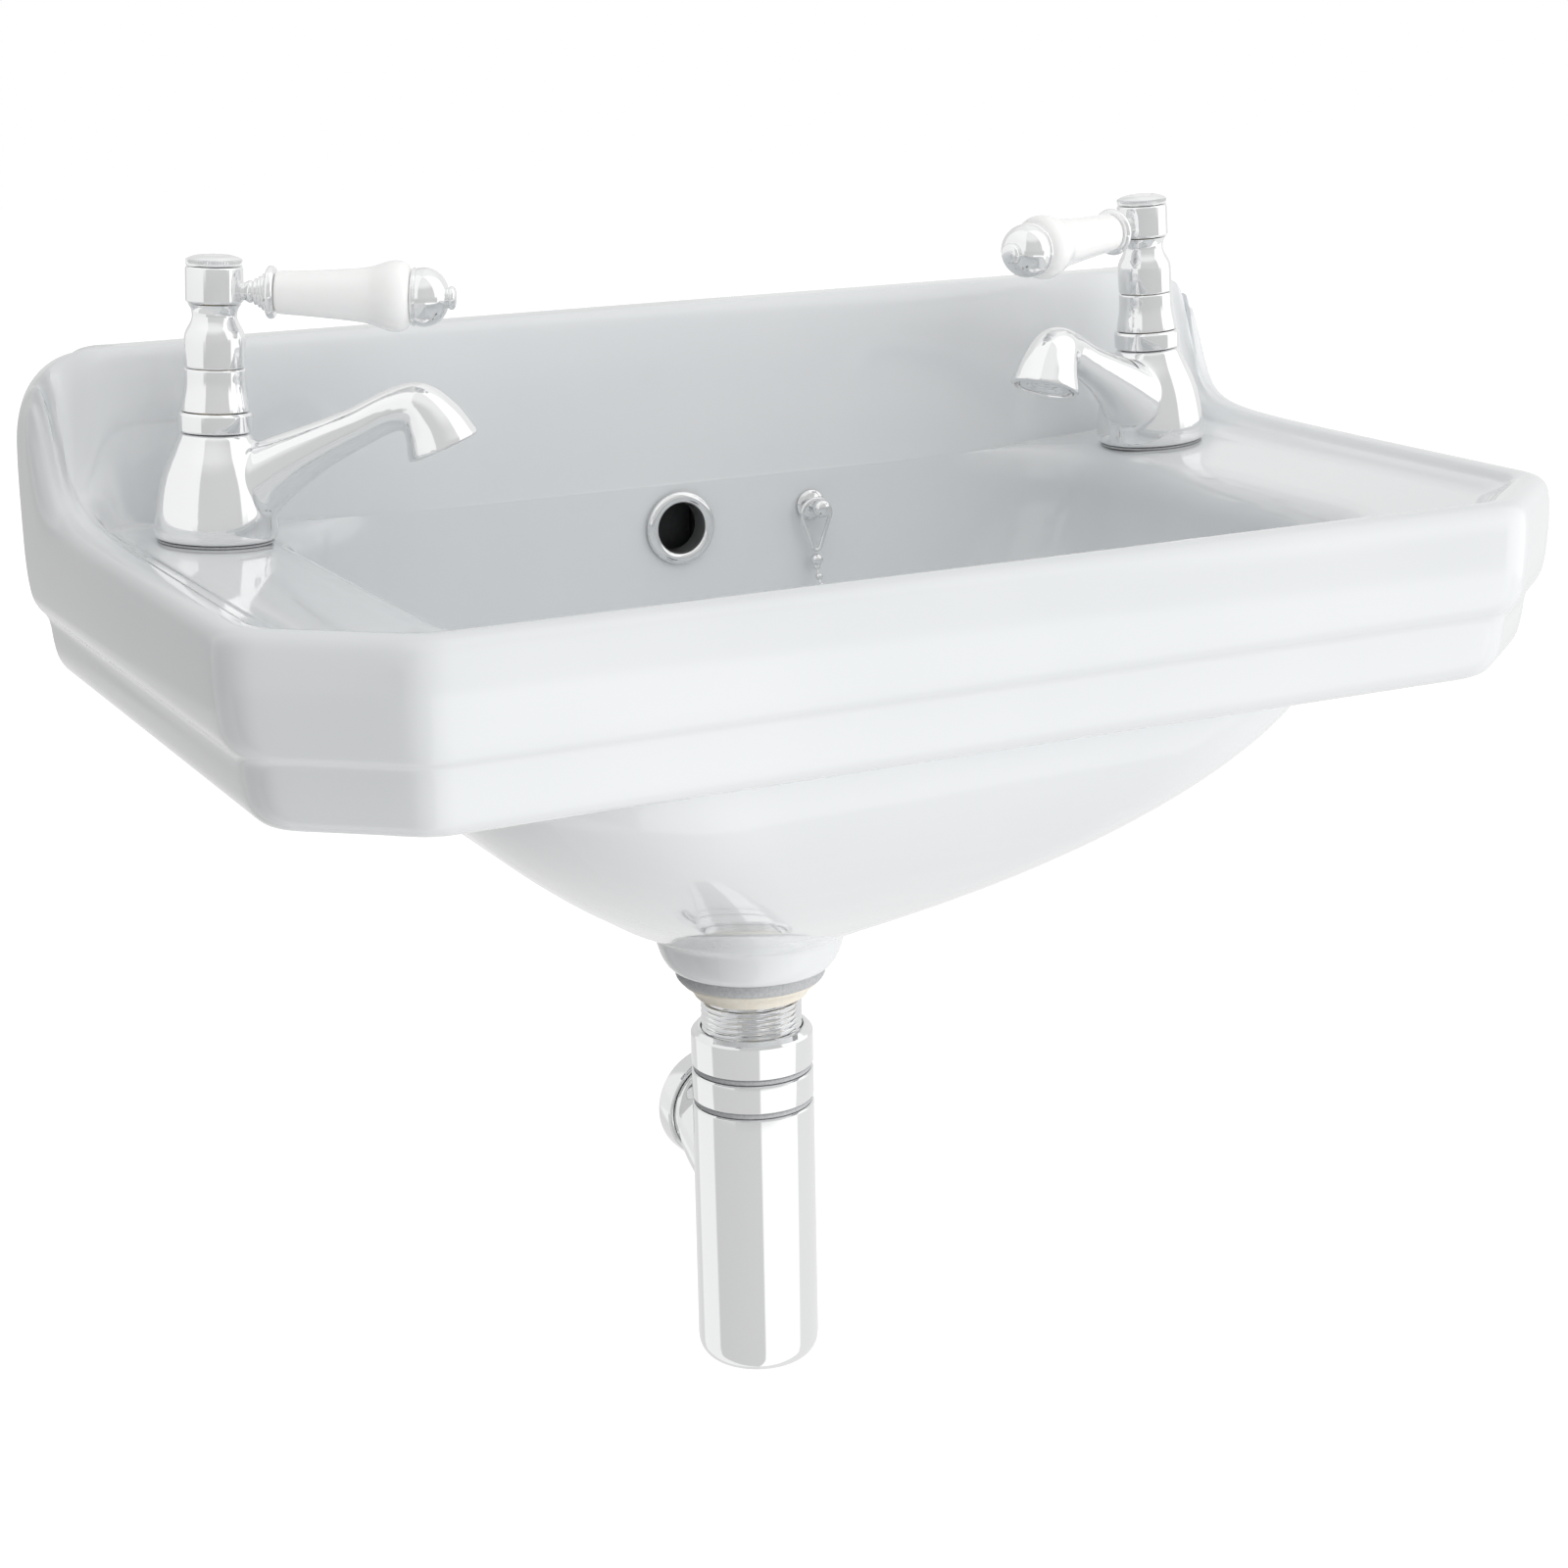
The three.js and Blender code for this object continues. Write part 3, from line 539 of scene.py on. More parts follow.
def rim_lift(x, y):
    """Height that the rim gains from the side rim up to the upstand."""
    past = max(-y - SHELF, 0)
    fall = 1 / (1 + (past / SWEEP) ** SWEEP_POWER)
    beyond = min(max(abs(x) - (HALF - CORNER_ROUND), 0), CORNER_ROUND)
    drop = CORNER_ROUND - math.sqrt(CORNER_ROUND ** 2 - beyond ** 2)
    return (BACK_RISE - drop) * fall


def deck_height(x):
    return DECK_Z - (TAP_X - max(abs(x), DECK_INNER)) * math.tan(DECK_SLOPE)


def rim_ring(inset, back_inset, z):
    return [(x, y, z + rim_lift(x, y)) for x, y in inset_outline(inset, back_inset)]


def band_ring(inset, back_inset, z):
    return [(x, y, z) for x, y in inset_outline(inset, back_inset)]


def deck_ring(inset, back_inset, rise, side_extra):
    return [(x, y, deck_height(x) + rise) for x, y in inset_outline(inset, back_inset, side_extra)]


def lip_ring(shrink, depth):
    outline = round_outline(
        BOWL_HALF - shrink, -29.6 - 0.03 * depth, -283 + max(shrink, 0) * 0.3,
        MOUTH_ROUND - shrink * 0.4)
    return [(x, y, deck_height(x) - depth) for x, y in outline]


def curved(start, end, power, t):
    """Value between start and end; the higher the power, the later it changes."""
    return end + (start - end) * (1 - t ** power)


def bowl_ring(t):
    """Inside of the bowl, t from 0 at the top to 1 at the floor."""
    half = curved(177, 36, 1.9, t)
    back = curved(-30, -52, 2, t)
    front = curved(-281, -124, 1.74, t)
    corner = curved(50, 28, 3, t)
    z = BOWL_TOP_Z + (FLOOR_Z - BOWL_TOP_Z) * t
    return [(x, y, z) for x, y in round_outline(half, back, front, corner)]


def hull_ring(t):
    """Outside of the bowl, t from 0 at the band to 1 at the boss."""
    half = curved(184.5, 39, 1.3, t)
    back = curved(-8, -41.5, 9, t)
    front = curved(-275, -118, 1.8, t)
    corner = min(curved(80, 53, 2, t), half - 2, (back - front) / 2 - 2)
    z = HULL_TOP_Z + (HULL_END_Z - HULL_TOP_Z) * t
    return [(x, y, z) for x, y in round_outline(half, back, front, corner)]


def round_ring(radius, z):
    """Circle round the waste with the outline's number of points."""
    outline = round_outline(radius, WASTE_Y + radius, WASTE_Y - radius, radius * 0.995)
    return [(WASTE_X + x, y, z) for x, y in outline]


def mixed(ring_a, ring_b, t):
    return [tuple(a + (b - a) * t for a, b in zip(p, q)) for p, q in zip(ring_a, ring_b)]


def basin_rings():
    """Control rings from the waste hole, up the bowl, over the rim and down the outside."""
    hole = [round_ring(WASTE_HOLE, BOSS_END_Z), round_ring(WASTE_HOLE, -195),
            round_ring(WASTE_HOLE, -183), round_ring(WASTE_HOLE + 1, -181),
            round_ring(32, -180.7), round_ring(33.5, -179.4), round_ring(35, -178.2)]
    bowl = [bowl_ring(t) for t in (0.985, 0.93, 0.85, 0.76, 0.66, 0.55, 0.43, 0.3, 0.17, 0.07)]
    lip = [lip_ring(9.5, 11.5), lip_ring(7.6, 6.8), lip_ring(4.6, 3.4), lip_ring(0, 1.1),
           lip_ring(-7, 0.1)]
    deck_edge = deck_ring(24, 29.5, 0, 7)
    deck = [mixed(lip_ring(-9, 0), deck_edge, t) for t in (0.1, 0.5, 0.9)] + [deck_edge]
    cove = [deck_ring(22, 29.3, 0.5, 4), deck_ring(19.5, 29.1, 1.9, 1.5)]
    upstand = rim_ring(16.5, 23.5, -3.4)
    cove.append(mixed(cove[-1], upstand, 0.5))
    rim = [upstand, rim_ring(13, 19.5, -1), rim_ring(9.5, 12, -0.15), rim_ring(6.5, 6, -0.15),
           rim_ring(3.4, 2.4, -1.4), rim_ring(1.3, 0.9, -4), rim_ring(0.3, 0.2, -8.5)]
    bands = [band_ring(0, 0, -13.5), band_ring(0.2, 0, -22), band_ring(0.8, 0, -30),
             band_ring(2, 0, -36.5), band_ring(4.2, 0, -40.8), band_ring(6.1, 0, -43),
             band_ring(7.2, 0, -45), band_ring(7.9, 0, -48), band_ring(8.6, 0, -54),
             band_ring(10.2, 0, -61), band_ring(13.4, 0.4, -66), band_ring(18, 1.4, BAND_END_Z)]
    hull = [hull_ring(t) for t in (0.03, 0.08, 0.16, 0.26, 0.38, 0.5, 0.62, 0.73, 0.83, 0.91)]
    boss = [round_ring(41.5, -187.6), round_ring(39.6, -189.4), round_ring(38.6, -193.2),
            round_ring(36.9, -198.4), round_ring(35, -201.8), round_ring(33, -203.8),
            round_ring(31.4, BOSS_END_Z)]
    return hole + bowl + lip + deck + cove + rim + bands + hull + boss


def smooth_rings(control, per=4):
    """Rings on smooth curves through the control rings, column by column."""
    columns = [through(column, per) for column in zip(*control)]
    return [list(ring) for ring in zip(*columns)]


def prism(outline, low, high, axis="z"):
    """Straight prism of a convex outline: along Z from X-Y points, along X from Y-Z points."""
    if axis == "z":
        rings = [[(x, y, h) for x, y in outline] for h in (low, high)]
    else:
        rings = [[(h, y, z) for y, z in outline] for h in (low, high)]
    return skin(rings)


def deck_frame(side):
    lean = Matrix.Rotation(-side * DECK_SLOPE, 4, "Y")
    return Matrix.Translation((side * TAP_X, tap_base(RIGHT_TURN).y, DECK_Z)) @ lean


def add_housing(thing):
    """Block behind the bowl, for the duct that leads from the overflow to the waste."""
    side = [(-9, -120), (-9, -180), (-14, -196), (-24, -202), (-60, -202), (-60, -190), (-30, -150)]
    housing = tool_from(prism(side, -20, 20, "x"))
    soften(housing, 3)
    combine(thing, housing, "UNION")


def cut_deck(thing, side):
    """Hollow under one deck, and the tap's hole through the deck."""
    pocket = [(191, -13), (244, -13), (244, -255), (214, -281), (205, -281), (191, -262)]
    outline = [(side * x - side * TAP_X, y - tap_base(RIGHT_TURN).y) for x, y in pocket]
    cut(thing, placed(prism(outline, -90, -15), deck_frame(side)), 5)
    cut(thing, placed(cylinder(TAP_HOLE, -40, 10, 48), deck_frame(side)))


def cut_overflow(thing):
    """Hole through the bowl's back wall, and the duct behind the wall."""
    through_wall = Matrix.Translation((0, -44, OVERFLOW_Z)) @ Matrix.Rotation(-math.pi / 2, 4, "X")
    cut(thing, placed(cylinder(OVERFLOW_HOLE, 0, 25, 64), through_wall))
    duct = [(-16, DUCT_TOP_Z), (-16, -182), (-22, -194), (-24, -194), (-24, DUCT_TOP_Z)]
    cut(thing, prism(duct, -DUCT_HALF, DUCT_HALF, "x"))


def paint_duct_shade(thing):
    """Paint shade: give the near-black second look to the faces inside the overflow's hole and duct,
    where shade falls.
    """
    for face in thing.data.polygons:
        x, y, z = face.center / MM
        in_duct = abs(x) < DUCT_HALF + 0.2 and -29 < y < -15 and -195 < z < DUCT_TOP_Z + 0.2
        in_hole = math.hypot(x, z - OVERFLOW_Z) < OVERFLOW_HOLE + 0.3 and y > -31
        face.material_index = int(in_duct or in_hole)


def basin():
    points, faces = skin(smooth_rings(basin_rings()), closed_loop=True)
    thing = piece("basin_china", points, faces, CHINA, nodes=["basin"])
    add_housing(thing)
    for side in (-1, 1):
        cut_deck(thing, side)
    cut_overflow(thing)
    # The second look is painted shade for the inside of the overflow's hole and duct.
    dress(thing, [CHINA, PAINTED_DUCT_SHADE], 38)
    paint_duct_shade(thing)


basin()


# ---------------------------------------------------------------- overflow ring
def overflow_ring():
    y = low_of("overflow_ring").y + 2.6
    matrix = Matrix.Translation((0, y, OVERFLOW_Z)) @ Matrix.Rotation(math.pi / 2, 4, "X")
    face = through([
        (15.3, 0.2), (15.1, 1.2), (14.2, 2.2), (12.8, 2.6), (11.2, 2.1), (10.4, 0.8), (10.2, -1)], 5)
    profile = [(11.6, -8), (11.6, 0), (15.2, 0)] + face + [(10.2, -8)]
    turned_piece("overflow_collar", profile, CHROME, matrix, 0.25, nodes=["overflow_ring"])


overflow_ring()

# ---------------------------------------------------------------- waste
ON_WASTE = Matrix.Translation((WASTE_X, WASTE_Y, 0))
TAIL_RADIUS = 20.95
TAIL_BORE = 17.8
PITCH = 2.31
THREAD_TOP = -217.4
TAIL_END = low_of("waste_tail").z


def threaded(radius, depth, pitch, low, high, bore, facets=96):
    """Sleeve with a true helical V thread outside."""
    turns = (high - low) / pitch
    per_turn = 10
    rows = int(turns * per_turn)
    rings = []
    for k in range(rows + 1):
        z = low + (high - low) * k / rows
        ring = []
        for i in range(facets):
            phase = ((z - low) / pitch - i / facets) % 1.0
            groove = abs(phase - 0.5) * 2
            crest = min(1.0, max(0.0, (groove - 0.12) / 0.76))
            fade = min(1.0, (z - low) / 1.2, (high - z) / 0.6)
            r = radius - depth * (1 - crest) - depth * (1 - max(fade, 0))
            angle = 2 * math.pi * i / facets
            ring.append((r * math.cos(angle), r * math.sin(angle), z))
        rings.append(ring)
    inner = [[(x, y, z) for x, y in circle(bore, facets)] for z in (high, low)]
    return skin(rings + inner, closed_loop=True)


def waste_dish():
    """Flange on the bowl's floor, with a slotted sleeve that runs down through the boss."""
    dish = through([
        (TAIL_BORE, -183), (18.6, -181.2), (20.8, -179.8), (24.5, -178.7), (28.5, -178), (31, -177.9)], 5)
    flange = [(TAIL_BORE, -187)] + dish + [
        (31.6, -178.4), (31.6, -179.4), (22.2, -179.8), (20.8, -181.4), (20.8, -187)]
    turned_piece("waste_dish", flange, CHROME, ON_WASTE, 0.4, nodes=["waste_flange"])
    tube = [(TAIL_BORE, THREAD_TOP), (TAIL_BORE, -187.3), (20.6, -187.3), (20.6, THREAD_TOP)]
    body = turned(rounded(tube, 0.3, True), 96)
    sleeve = piece("waste_sleeve", *placed(body, ON_WASTE), CHROME, nodes=["waste_tail"])
    slot = prism([(-9, -30), (9, -30), (9, 30), (-9, 30)], -197, -189)
    cut(sleeve, placed(slot, ON_WASTE))
    dress(sleeve, [CHROME], 35)


def waste_tail_and_grid():
    tail = threaded(TAIL_RADIUS, 1.25, PITCH, TAIL_END, THREAD_TOP - 0.05, TAIL_BORE)
    piece("waste_thread", *placed(tail, ON_WASTE), THREAD, sharp=28)
    for k in range(2):
        cross = prism([(-18.2, -1.5), (18.2, -1.5), (18.2, 1.5), (-18.2, 1.5)], -187, -184.2)
        turn = Matrix.Rotation(k * math.pi / 2, 4, "Z")
        bar = piece(f"waste_grid_{k}", *placed(cross, ON_WASTE @ turn), CHROME)
        soften(bar, 0.6)
        smooth(bar.data, 35)


def washers_and_nuts():
    seal = [(22.2, -180.4), (29.5, -180.4), (29.5, -180), (22.2, -180)]
    turned_piece("waste_top_seal", seal, GREY_RUBBER, ON_WASTE, 0.2, nodes=["waste_flange_seal"])
    washer = [(21.4, -209.8), (29.6, -209.8)] + through(
        [(29.8, -209.7), (30.9, -208), (31.1, -206.4), (30.7, -204.8)], 4) + [(21.4, -204.7)]
    turned_piece("waste_rubber_washer", washer, GREY_RUBBER, ON_WASTE, 0.3, nodes=["waste_lower_washer"])
    nut = [(21.4, -216.9), (23.2, -216.9)] + through(
        [(23.4, -216.7), (24.6, -214.6), (26.8, -212.4), (28.4, -211.2)], 4) + [
        (28.6, -210.1), (21.4, -210.1)]
    turned_piece("waste_plastic_nut", nut, CREAM, ON_WASTE, 0.3, nodes=["waste_back_nut"])


waste_dish()
waste_tail_and_grid()
washers_and_nuts()

# ---------------------------------------------------------------- bottle trap
TRAP_RADIUS = 25.4
TRAP_END = low_of("trap_body").z
OUTLET = centre_of("trap_outlet_nut")


def seal_ring(z, radius=24.3, half_width=0.55, half_height=0.95, facets=14):
    """Oval section of a rubber ring round the trap."""
    return [(radius + half_width * x, z + half_height * y) for x, y in circle(1, facets)]


def trap():
    nut = [(21.4, -230.9), (23.3, -230.9), (TRAP_RADIUS - 0.5, -232.6), (TRAP_RADIUS, -233.6),
           (TRAP_RADIUS, -246.7), (24.8, -247.2), (22.6, -247.2), (22.6, -238), (21.4, -236.5)]
    turned_piece("trap_top_nut", nut, CHROME, ON_WASTE, 0.35, 128, nodes=["trap_inlet_nut"])
    collar = [(18, -272), (23.1, -272), (23.1, -261.9), (24.8, -261.9), (TRAP_RADIUS, -261.3),
              (TRAP_RADIUS, -250.2), (24.8, -249.6), (23.4, -249.6), (23.4, -247.5), (22.2, -247.5),
              (22.2, -246), (18, -246)]
    turned_piece("trap_neck", collar, CHROME, ON_WASTE, 0.35, 128, nodes=["trap_collar"])
    foot = through([(TRAP_RADIUS, TRAP_END + 10.5), (TRAP_RADIUS - 0.6, TRAP_END + 6.4),
                    (TRAP_RADIUS - 2.6, TRAP_END + 3), (TRAP_RADIUS - 6, TRAP_END + 0.8),
                    (TRAP_RADIUS - 10, TRAP_END + 0.1)], 5)
    bottle = [(0, TRAP_END), (6, TRAP_END)] + foot[::-1] + [
        (TRAP_RADIUS, -264.8), (24.8, -264.2), (23.4, -264.2), (23.4, TRAP_END + 8), (16, TRAP_END + 3),
        (0, TRAP_END + 3)]
    turned_piece("trap_bottle", bottle, CHROME, ON_WASTE, 0.35, 160, nodes=["trap_body"])
    dip = [(16.4, -350), (17.6, -350), (17.6, -250), (16.4, -250)]
    turned_piece("trap_inner_tube", dip, WHITE, ON_WASTE, 0.2, nodes=["trap_dip_tube"])
    for name, z in (("upper", -248.4), ("lower", -263.05)):
        turned_piece(f"trap_{name}_ring", seal_ring(z), GREY_RUBBER, ON_WASTE, 0.01,
                     nodes=[f"trap_{name}_seal"])
    washer = [(18, -245.6), (22, -245.6), (22, -243.4), (18, -243.4)]
    turned_piece("trap_top_washer", washer, BLACK_RUBBER, ON_WASTE, 0.2, nodes=["trap_inlet_washer"])


def trap_outlet():
    """Horn that bends up and back out of the bottle, with the nut and washer for the wall pipe."""
    z = OUTLET.z

    def ring(y, height, radius):
        return [(WASTE_X + x, WASTE_Y + y, height + up) for x, up in circle(radius, 96)]

    outside = smooth_rings([ring(10, z - 19, 20.8), ring(19, z - 12.6, 21.2),
                            ring(25.7, z - 7.8, 21.5), ring(28.5, z - 0.6, 22.2)], 6)
    rest = [ring(29, z, 22.3), ring(30.9, z, 22.4), ring(31.1, z, 19.6), ring(37, z, 19.6)]
    inside = [ring(37, z, 15.4), ring(25.7, z - 3, 14.4), ring(14, z - 10, 14)]
    shape = skin(outside + rest + inside, closed_loop=True)
    piece("trap_horn", *shape, CHROME, sharp=30)
    start = low_of("trap_outlet_nut").y
    along = Matrix.Translation((WASTE_X, 0, z)) @ Matrix.Rotation(-math.pi / 2, 4, "X")
    nut = [(20, start), (24, start), (24.6, start + 0.8), (24.6, start + 10.4), (23.6, start + 11.6),
           (16.8, start + 11.6), (16.8, start + 8.6), (20, start + 8.6)]
    turned_piece("trap_wall_nut", nut, CHROME, along, 0.35, nodes=["trap_outlet_nut"])
    end = low_of("trap_outlet_washer").y
    washer = [(16.8, end), (19.6, end), (19.6, end + 2.2), (16.8, end + 2.2)]
    turned_piece("trap_wall_washer", washer, BLACK_RUBBER, along, 0.2, nodes=["trap_outlet_washer"])


trap()
trap_outlet()

# ---------------------------------------------------------------- taps
SPOUT_TURN = math.radians(27)
LEVER_TURNS = {-1: math.radians(27), 1: math.radians(19)}
SPOUT = [
    (2, 13.5, 15.5), (12, 20.6, 14.8), (24, 28.6, 12), (38, 36.6, 9.2), (52, 43.8, 7.8),
    (66, 51, 8), (74.5, 52, 9.8), (80.8, 46, 12), (85, 37.8, 14.6),
]


def tap_frame(side, forward):
    """Local X along the spout or lever, local Z up out of the sloping deck."""
    angle = -forward if side < 0 else math.pi + forward
    return deck_frame(side) @ Matrix.Rotation(angle, 4, "Z")


def sweep_rings(line, facets):
    rings = []
    for i, (x, z, radius) in enumerate(line):
        before = line[max(i - 1, 0)]
        after = line[min(i + 1, len(line) - 1)]
        along = Vector((after[0] - before[0], after[1] - before[1])).normalized()
        rings.append([(x - along.y * out, across, z + along.x * out)
                      for out, across in circle(radius, facets)])
    return rings


def nozzle_frame():
    """At the spout's mouth, local Z up into the spout."""
    x, z = SPOUT[-1][:2]
    before_x, before_z = SPOUT[-2][:2]
    lean = math.atan2(before_x - x, before_z - z)
    return Matrix.Translation((x, 0, z)) @ Matrix.Rotation(lean, 4, "Y")


def tap_casting(side, label):
    """Body and spout run together with soft fillets, then hollowed at the mouth."""
    place = tap_frame(side, SPOUT_TURN)
    body = [(0, 1.1), (22, 1.1)] + through(
        [(22.6, 1.4), (23.1, 3.6), (22.9, 8), (22.3, 13), (21.4, 18.5), (20, 24.5), (18, 30),
         (15.6, 35.2), (13.9, 39), (13.2, 41)], 5) + [(0, 41)]
    thing = piece(f"{label}_tap_body", *turned(body, 96), LIGHTENED_CHROME, nodes=[f"{label}_tap_casting"])
    spout = tool_from(skin(sweep_rings(through(SPOUT, 6), 48)))
    combine(thing, spout, "UNION")
    remesh = thing.modifiers.new("cast", "REMESH")
    remesh.mode = "VOXEL"
    remesh.voxel_size = 0.55 * MM
    settle = thing.modifiers.new("settle", "SMOOTH")
    settle.factor = 0.5
    settle.iterations = 45
    apply_modifiers(thing)
    mouth = [(0, -3), (13, -3), (12.4, -0.5), (11.4, 5.5), (0, 5.5)]
    cut(thing, placed(turned(mouth, 64), nozzle_frame()))
    thing.data.transform(metres(place))
    dress(thing, [LIGHTENED_CHROME], 50)
    nozzle = [(0, 2.4), (6.2, 2.4), (7, 1.9), (7.6, 0.6), (10.4, 0.6), (10.4, 3.8), (8.6, 4.6), (0, 4.6)]
    turned_piece(f"{label}_tap_jet", nozzle, LIGHTENED_CHROME, place @ nozzle_frame(), 0.3, 64,
                 nodes=[f"{label}_tap_nozzle"])


def metres(matrix):
    """The same matrix for a mesh that is already in metres."""
    scaled = matrix.copy()
    scaled.translation = matrix.translation * MM
    return scaled


def knurled_cap(facets=240, teeth=60, tooth_depth=0.75):
    """Index cap: coin-edged rim, then a low dome with a sunk button."""
    side = [(0, 102.2), (10.2, 102.2), (10.45, 102.6)]
    rim = [(10.45, 102.7), (10.55, 103.1), (10.55, 104.1), (10.3, 104.5)]
    dome = through([(9.9, 104.7), (8.6, 105.3), (6.4, 105.9), (5.2, 106.05)], 4)
    button = [(5.0, 105.75), (4.6, 105.75), (4.3, 106.05), (2, 106.15), (0, 106.2)]
    points, faces = turned(side + rim + dome + button, facets)
    notched = []
    for x, y, z in points:
        radius = math.hypot(x, y)
        scale = 1
        if radius > 10.4 and 102.9 < z < 104.3:
            tooth = 0.5 + 0.5 * math.cos(teeth * math.atan2(y, x))
            scale = (radius - tooth_depth * tooth) / radius
        notched.append((x * scale, y * scale, z))
    return notched, faces


def tap_column(side, label):
    place = tap_frame(side, SPOUT_TURN)

    def add(name, profile, look, node, fillet=0.35, facets=96):
        turned_piece(f"{label}_tap_{name}", profile, look, place, fillet, facets,
                     nodes=[f"{label}_tap_{node}"])

    gasket = [(13.4, 0.2), (21.6, 0.2), (21.6, 0.95), (13.4, 0.95)]
    add("foot_gasket", gasket, GREY_RUBBER, "base_washer", 0.2)
    ring = [(8.6, 41.25), (13.4, 41.25), (13.9, 41.8), (13.9, 47.6), (13.1, 48.6), (8.6, 48.6)]
    add("bonnet_ring", ring, LIGHTENED_CHROME, "collar", 0.3)
    flare = through([(12.7, 49), (12.55, 50.6), (12.1, 53.2), (11.6, 56), (11.3, 59.2), (11.25, 62)], 5)
    add("skirt", [(8.6, 48.9)] + flare + [(11.25, 64), (10.85, 64.6), (8.6, 64.6)],
        LIGHTENED_CHROME, "lower_shroud", 0.3)
    waist = through([(11.25, 75), (11.1, 76.6), (10.3, 78.8), (9.2, 80.8), (8.4, 82.8), (8.3, 84.6),
                     (8.8, 86.6), (9.8, 88.1)], 6)
    add("neck", [(8.6, 64.85), (10.85, 64.85), (11.25, 65.4)] + waist + [(5, 88.2), (5, 74), (8.6, 70)],
        LIGHTENED_CHROME, "upper_shroud", 0.25)
    add("cartridge", [(0, 18), (7.9, 18), (7.9, 66), (6, 69), (0, 69)], BRASS, "valve", 0.4, 48)
    sleeve = [(10.6, -17.3), (16.4, -17.3), (16.4, -15.3), (12.6, -15.3), (12.6, -3), (10.6, -3)]
    add("tail_bush", sleeve, WHITE, "sleeve_washer", 0.3)


def tap_tail(side, label):
    """Threaded tail under the deck, with its hexagon nut."""
    place = tap_frame(side, SPOUT_TURN)
    tail = placed(threaded(10.4, 0.9, 1.81, -52, 0.8, 6.5, 64), place)
    piece(f"{label}_tap_tail", *tail, BRASS, sharp=28)
    nut = piece(f"{label}_tap_backnut", *placed(cylinder(15.8, -26.6, -17.6, 6), place), BRASS,
                nodes=[f"{label}_tap_tail_nut"])
    cut(nut, placed(cylinder(10.7, -30, -10, 64), place))
    soften(nut, 0.5, 3)
    dress(nut, [BRASS], 35)


def tap_lever(side, label):
    body = f"{label}_lever"
    place = tap_frame(side, LEVER_TURNS[side])
    lying = place @ Matrix.Translation((0, 0, LEVER_HEIGHT)) @ Matrix.Rotation(math.pi / 2, 4, "Y")

    def add(name, profile, look, matrix, node, fillet=0.3, facets=96):
        turned_piece(f"{label}_lever_{name}", profile, look, matrix, fillet, facets,
                     body=body, nodes=[f"{label}_tap_{node}"])

    add("spindle", [(0, 69.3), (4.2, 69.3), (4.2, 97), (0, 97)], BRASS, place, "spindle", 0.3, 32)
    add("hub", [(0, 98), (4.5, 98), (4.5, 88.5), (9.8, 88.5), (10.6, 89.3), (10.6, 101.3), (10.1, 101.9),
                (0, 101.9)], LIGHTENED_CHROME, place, "hub", 0.4)
    piece(f"{label}_lever_cap", *placed(knurled_cap(), place), LIGHTENED_CHROME, body=body, sharp=40,
          nodes=[f"{label}_tap_index_cap"])
    ball = through([(3.3, 11.4), (3.9, 12.3), (4.2, 13.2), (3.9, 14.1), (3.5, 14.6)], 4)
    steps = [(4.9, 14.9), (4.9, 16.2), (5.8, 16.5), (5.8, 17.6), (6.8, 17.9), (6.8, 18.9), (7.8, 19.1)]
    flange = through([(8.4, 19.2), (9.5, 19.9), (9.8, 20.8), (9.5, 21.8), (9, 22.4)], 4)
    stem = [(0, 9.5), (3.3, 9.5)] + ball + steps + flange + [(2.5, 22.4), (2.5, 75), (0, 75)]
    add("stem", stem, LIGHTENED_CHROME, lying, "lever_stem", 0.25)
    grip = [(2.8, 22.6)] + through(
        [(7.1, 22.7), (7.7, 23.3), (7.95, 25), (8.3, 32), (8.8, 40), (9.4, 48), (10, 54), (10.8, 58.2),
         (12, 61.6), (12.9, 64.6), (13.15, 67), (12.8, 69.2), (11.8, 71), (10.4, 72), (9.8, 72.3)], 5) + [
        (2.8, 72.3)]
    add("grip", grip, PORCELAIN, lying, "lever_handle", 0.2, 128)
    base = [(0, 75.4), (2.8, 75.4), (2.8, 72.6), (10.2, 72.6), (10.8, 73.1), (10.8, 73.8), (10.3, 74.2)]
    dome = through([
        (10.6, 74.6), (10.9, 76.4), (10.7, 78.8), (9.8, 81.2), (8.2, 83.4), (6, 85), (4.6, 85.6)], 5)
    knob = through([(3.9, 85.7), (3.8, 86), (4.2, 86.5), (4.4, 87.2), (4, 88.2), (2.5, 88.8), (0, 89)], 4)
    add("finial", base + dome + knob, LIGHTENED_CHROME, lying, "lever_finial", 0.2)


for side_sign, side_label in ((-1, "left"), (1, "right")):
    tap_casting(side_sign, side_label)
    tap_column(side_sign, side_label)
    tap_tail(side_sign, side_label)
    tap_lever(side_sign, side_label)

# ---------------------------------------------------------------- chain, stay and plug
BEAD = 3.2
BEAD_STEP = 4.4
BEAD_WIRE = 0.45
CHAIN_ROUTE = [
    (0.061, -0.0359, -0.0533), (0.061, -0.0392, -0.06), (0.0605, -0.05, -0.074),
    (0.0595, -0.064, -0.092), (0.057, -0.08, -0.11), (0.053, -0.097, -0.126),
    (0.047, -0.115, -0.14), (0.038, -0.131, -0.151), (0.026, -0.141, -0.1575),
    (0.014, -0.1465, -0.1585), (0.0084, -0.1535, -0.156), (0.008, -0.1605, -0.1504),
    (0.0096, -0.1625, -0.1446), (0.0126, -0.1616, -0.1388), (0.018, -0.1605, -0.1366),
    (0.024, -0.1602, -0.1366), (0.0307, -0.1603, -0.1367),
]


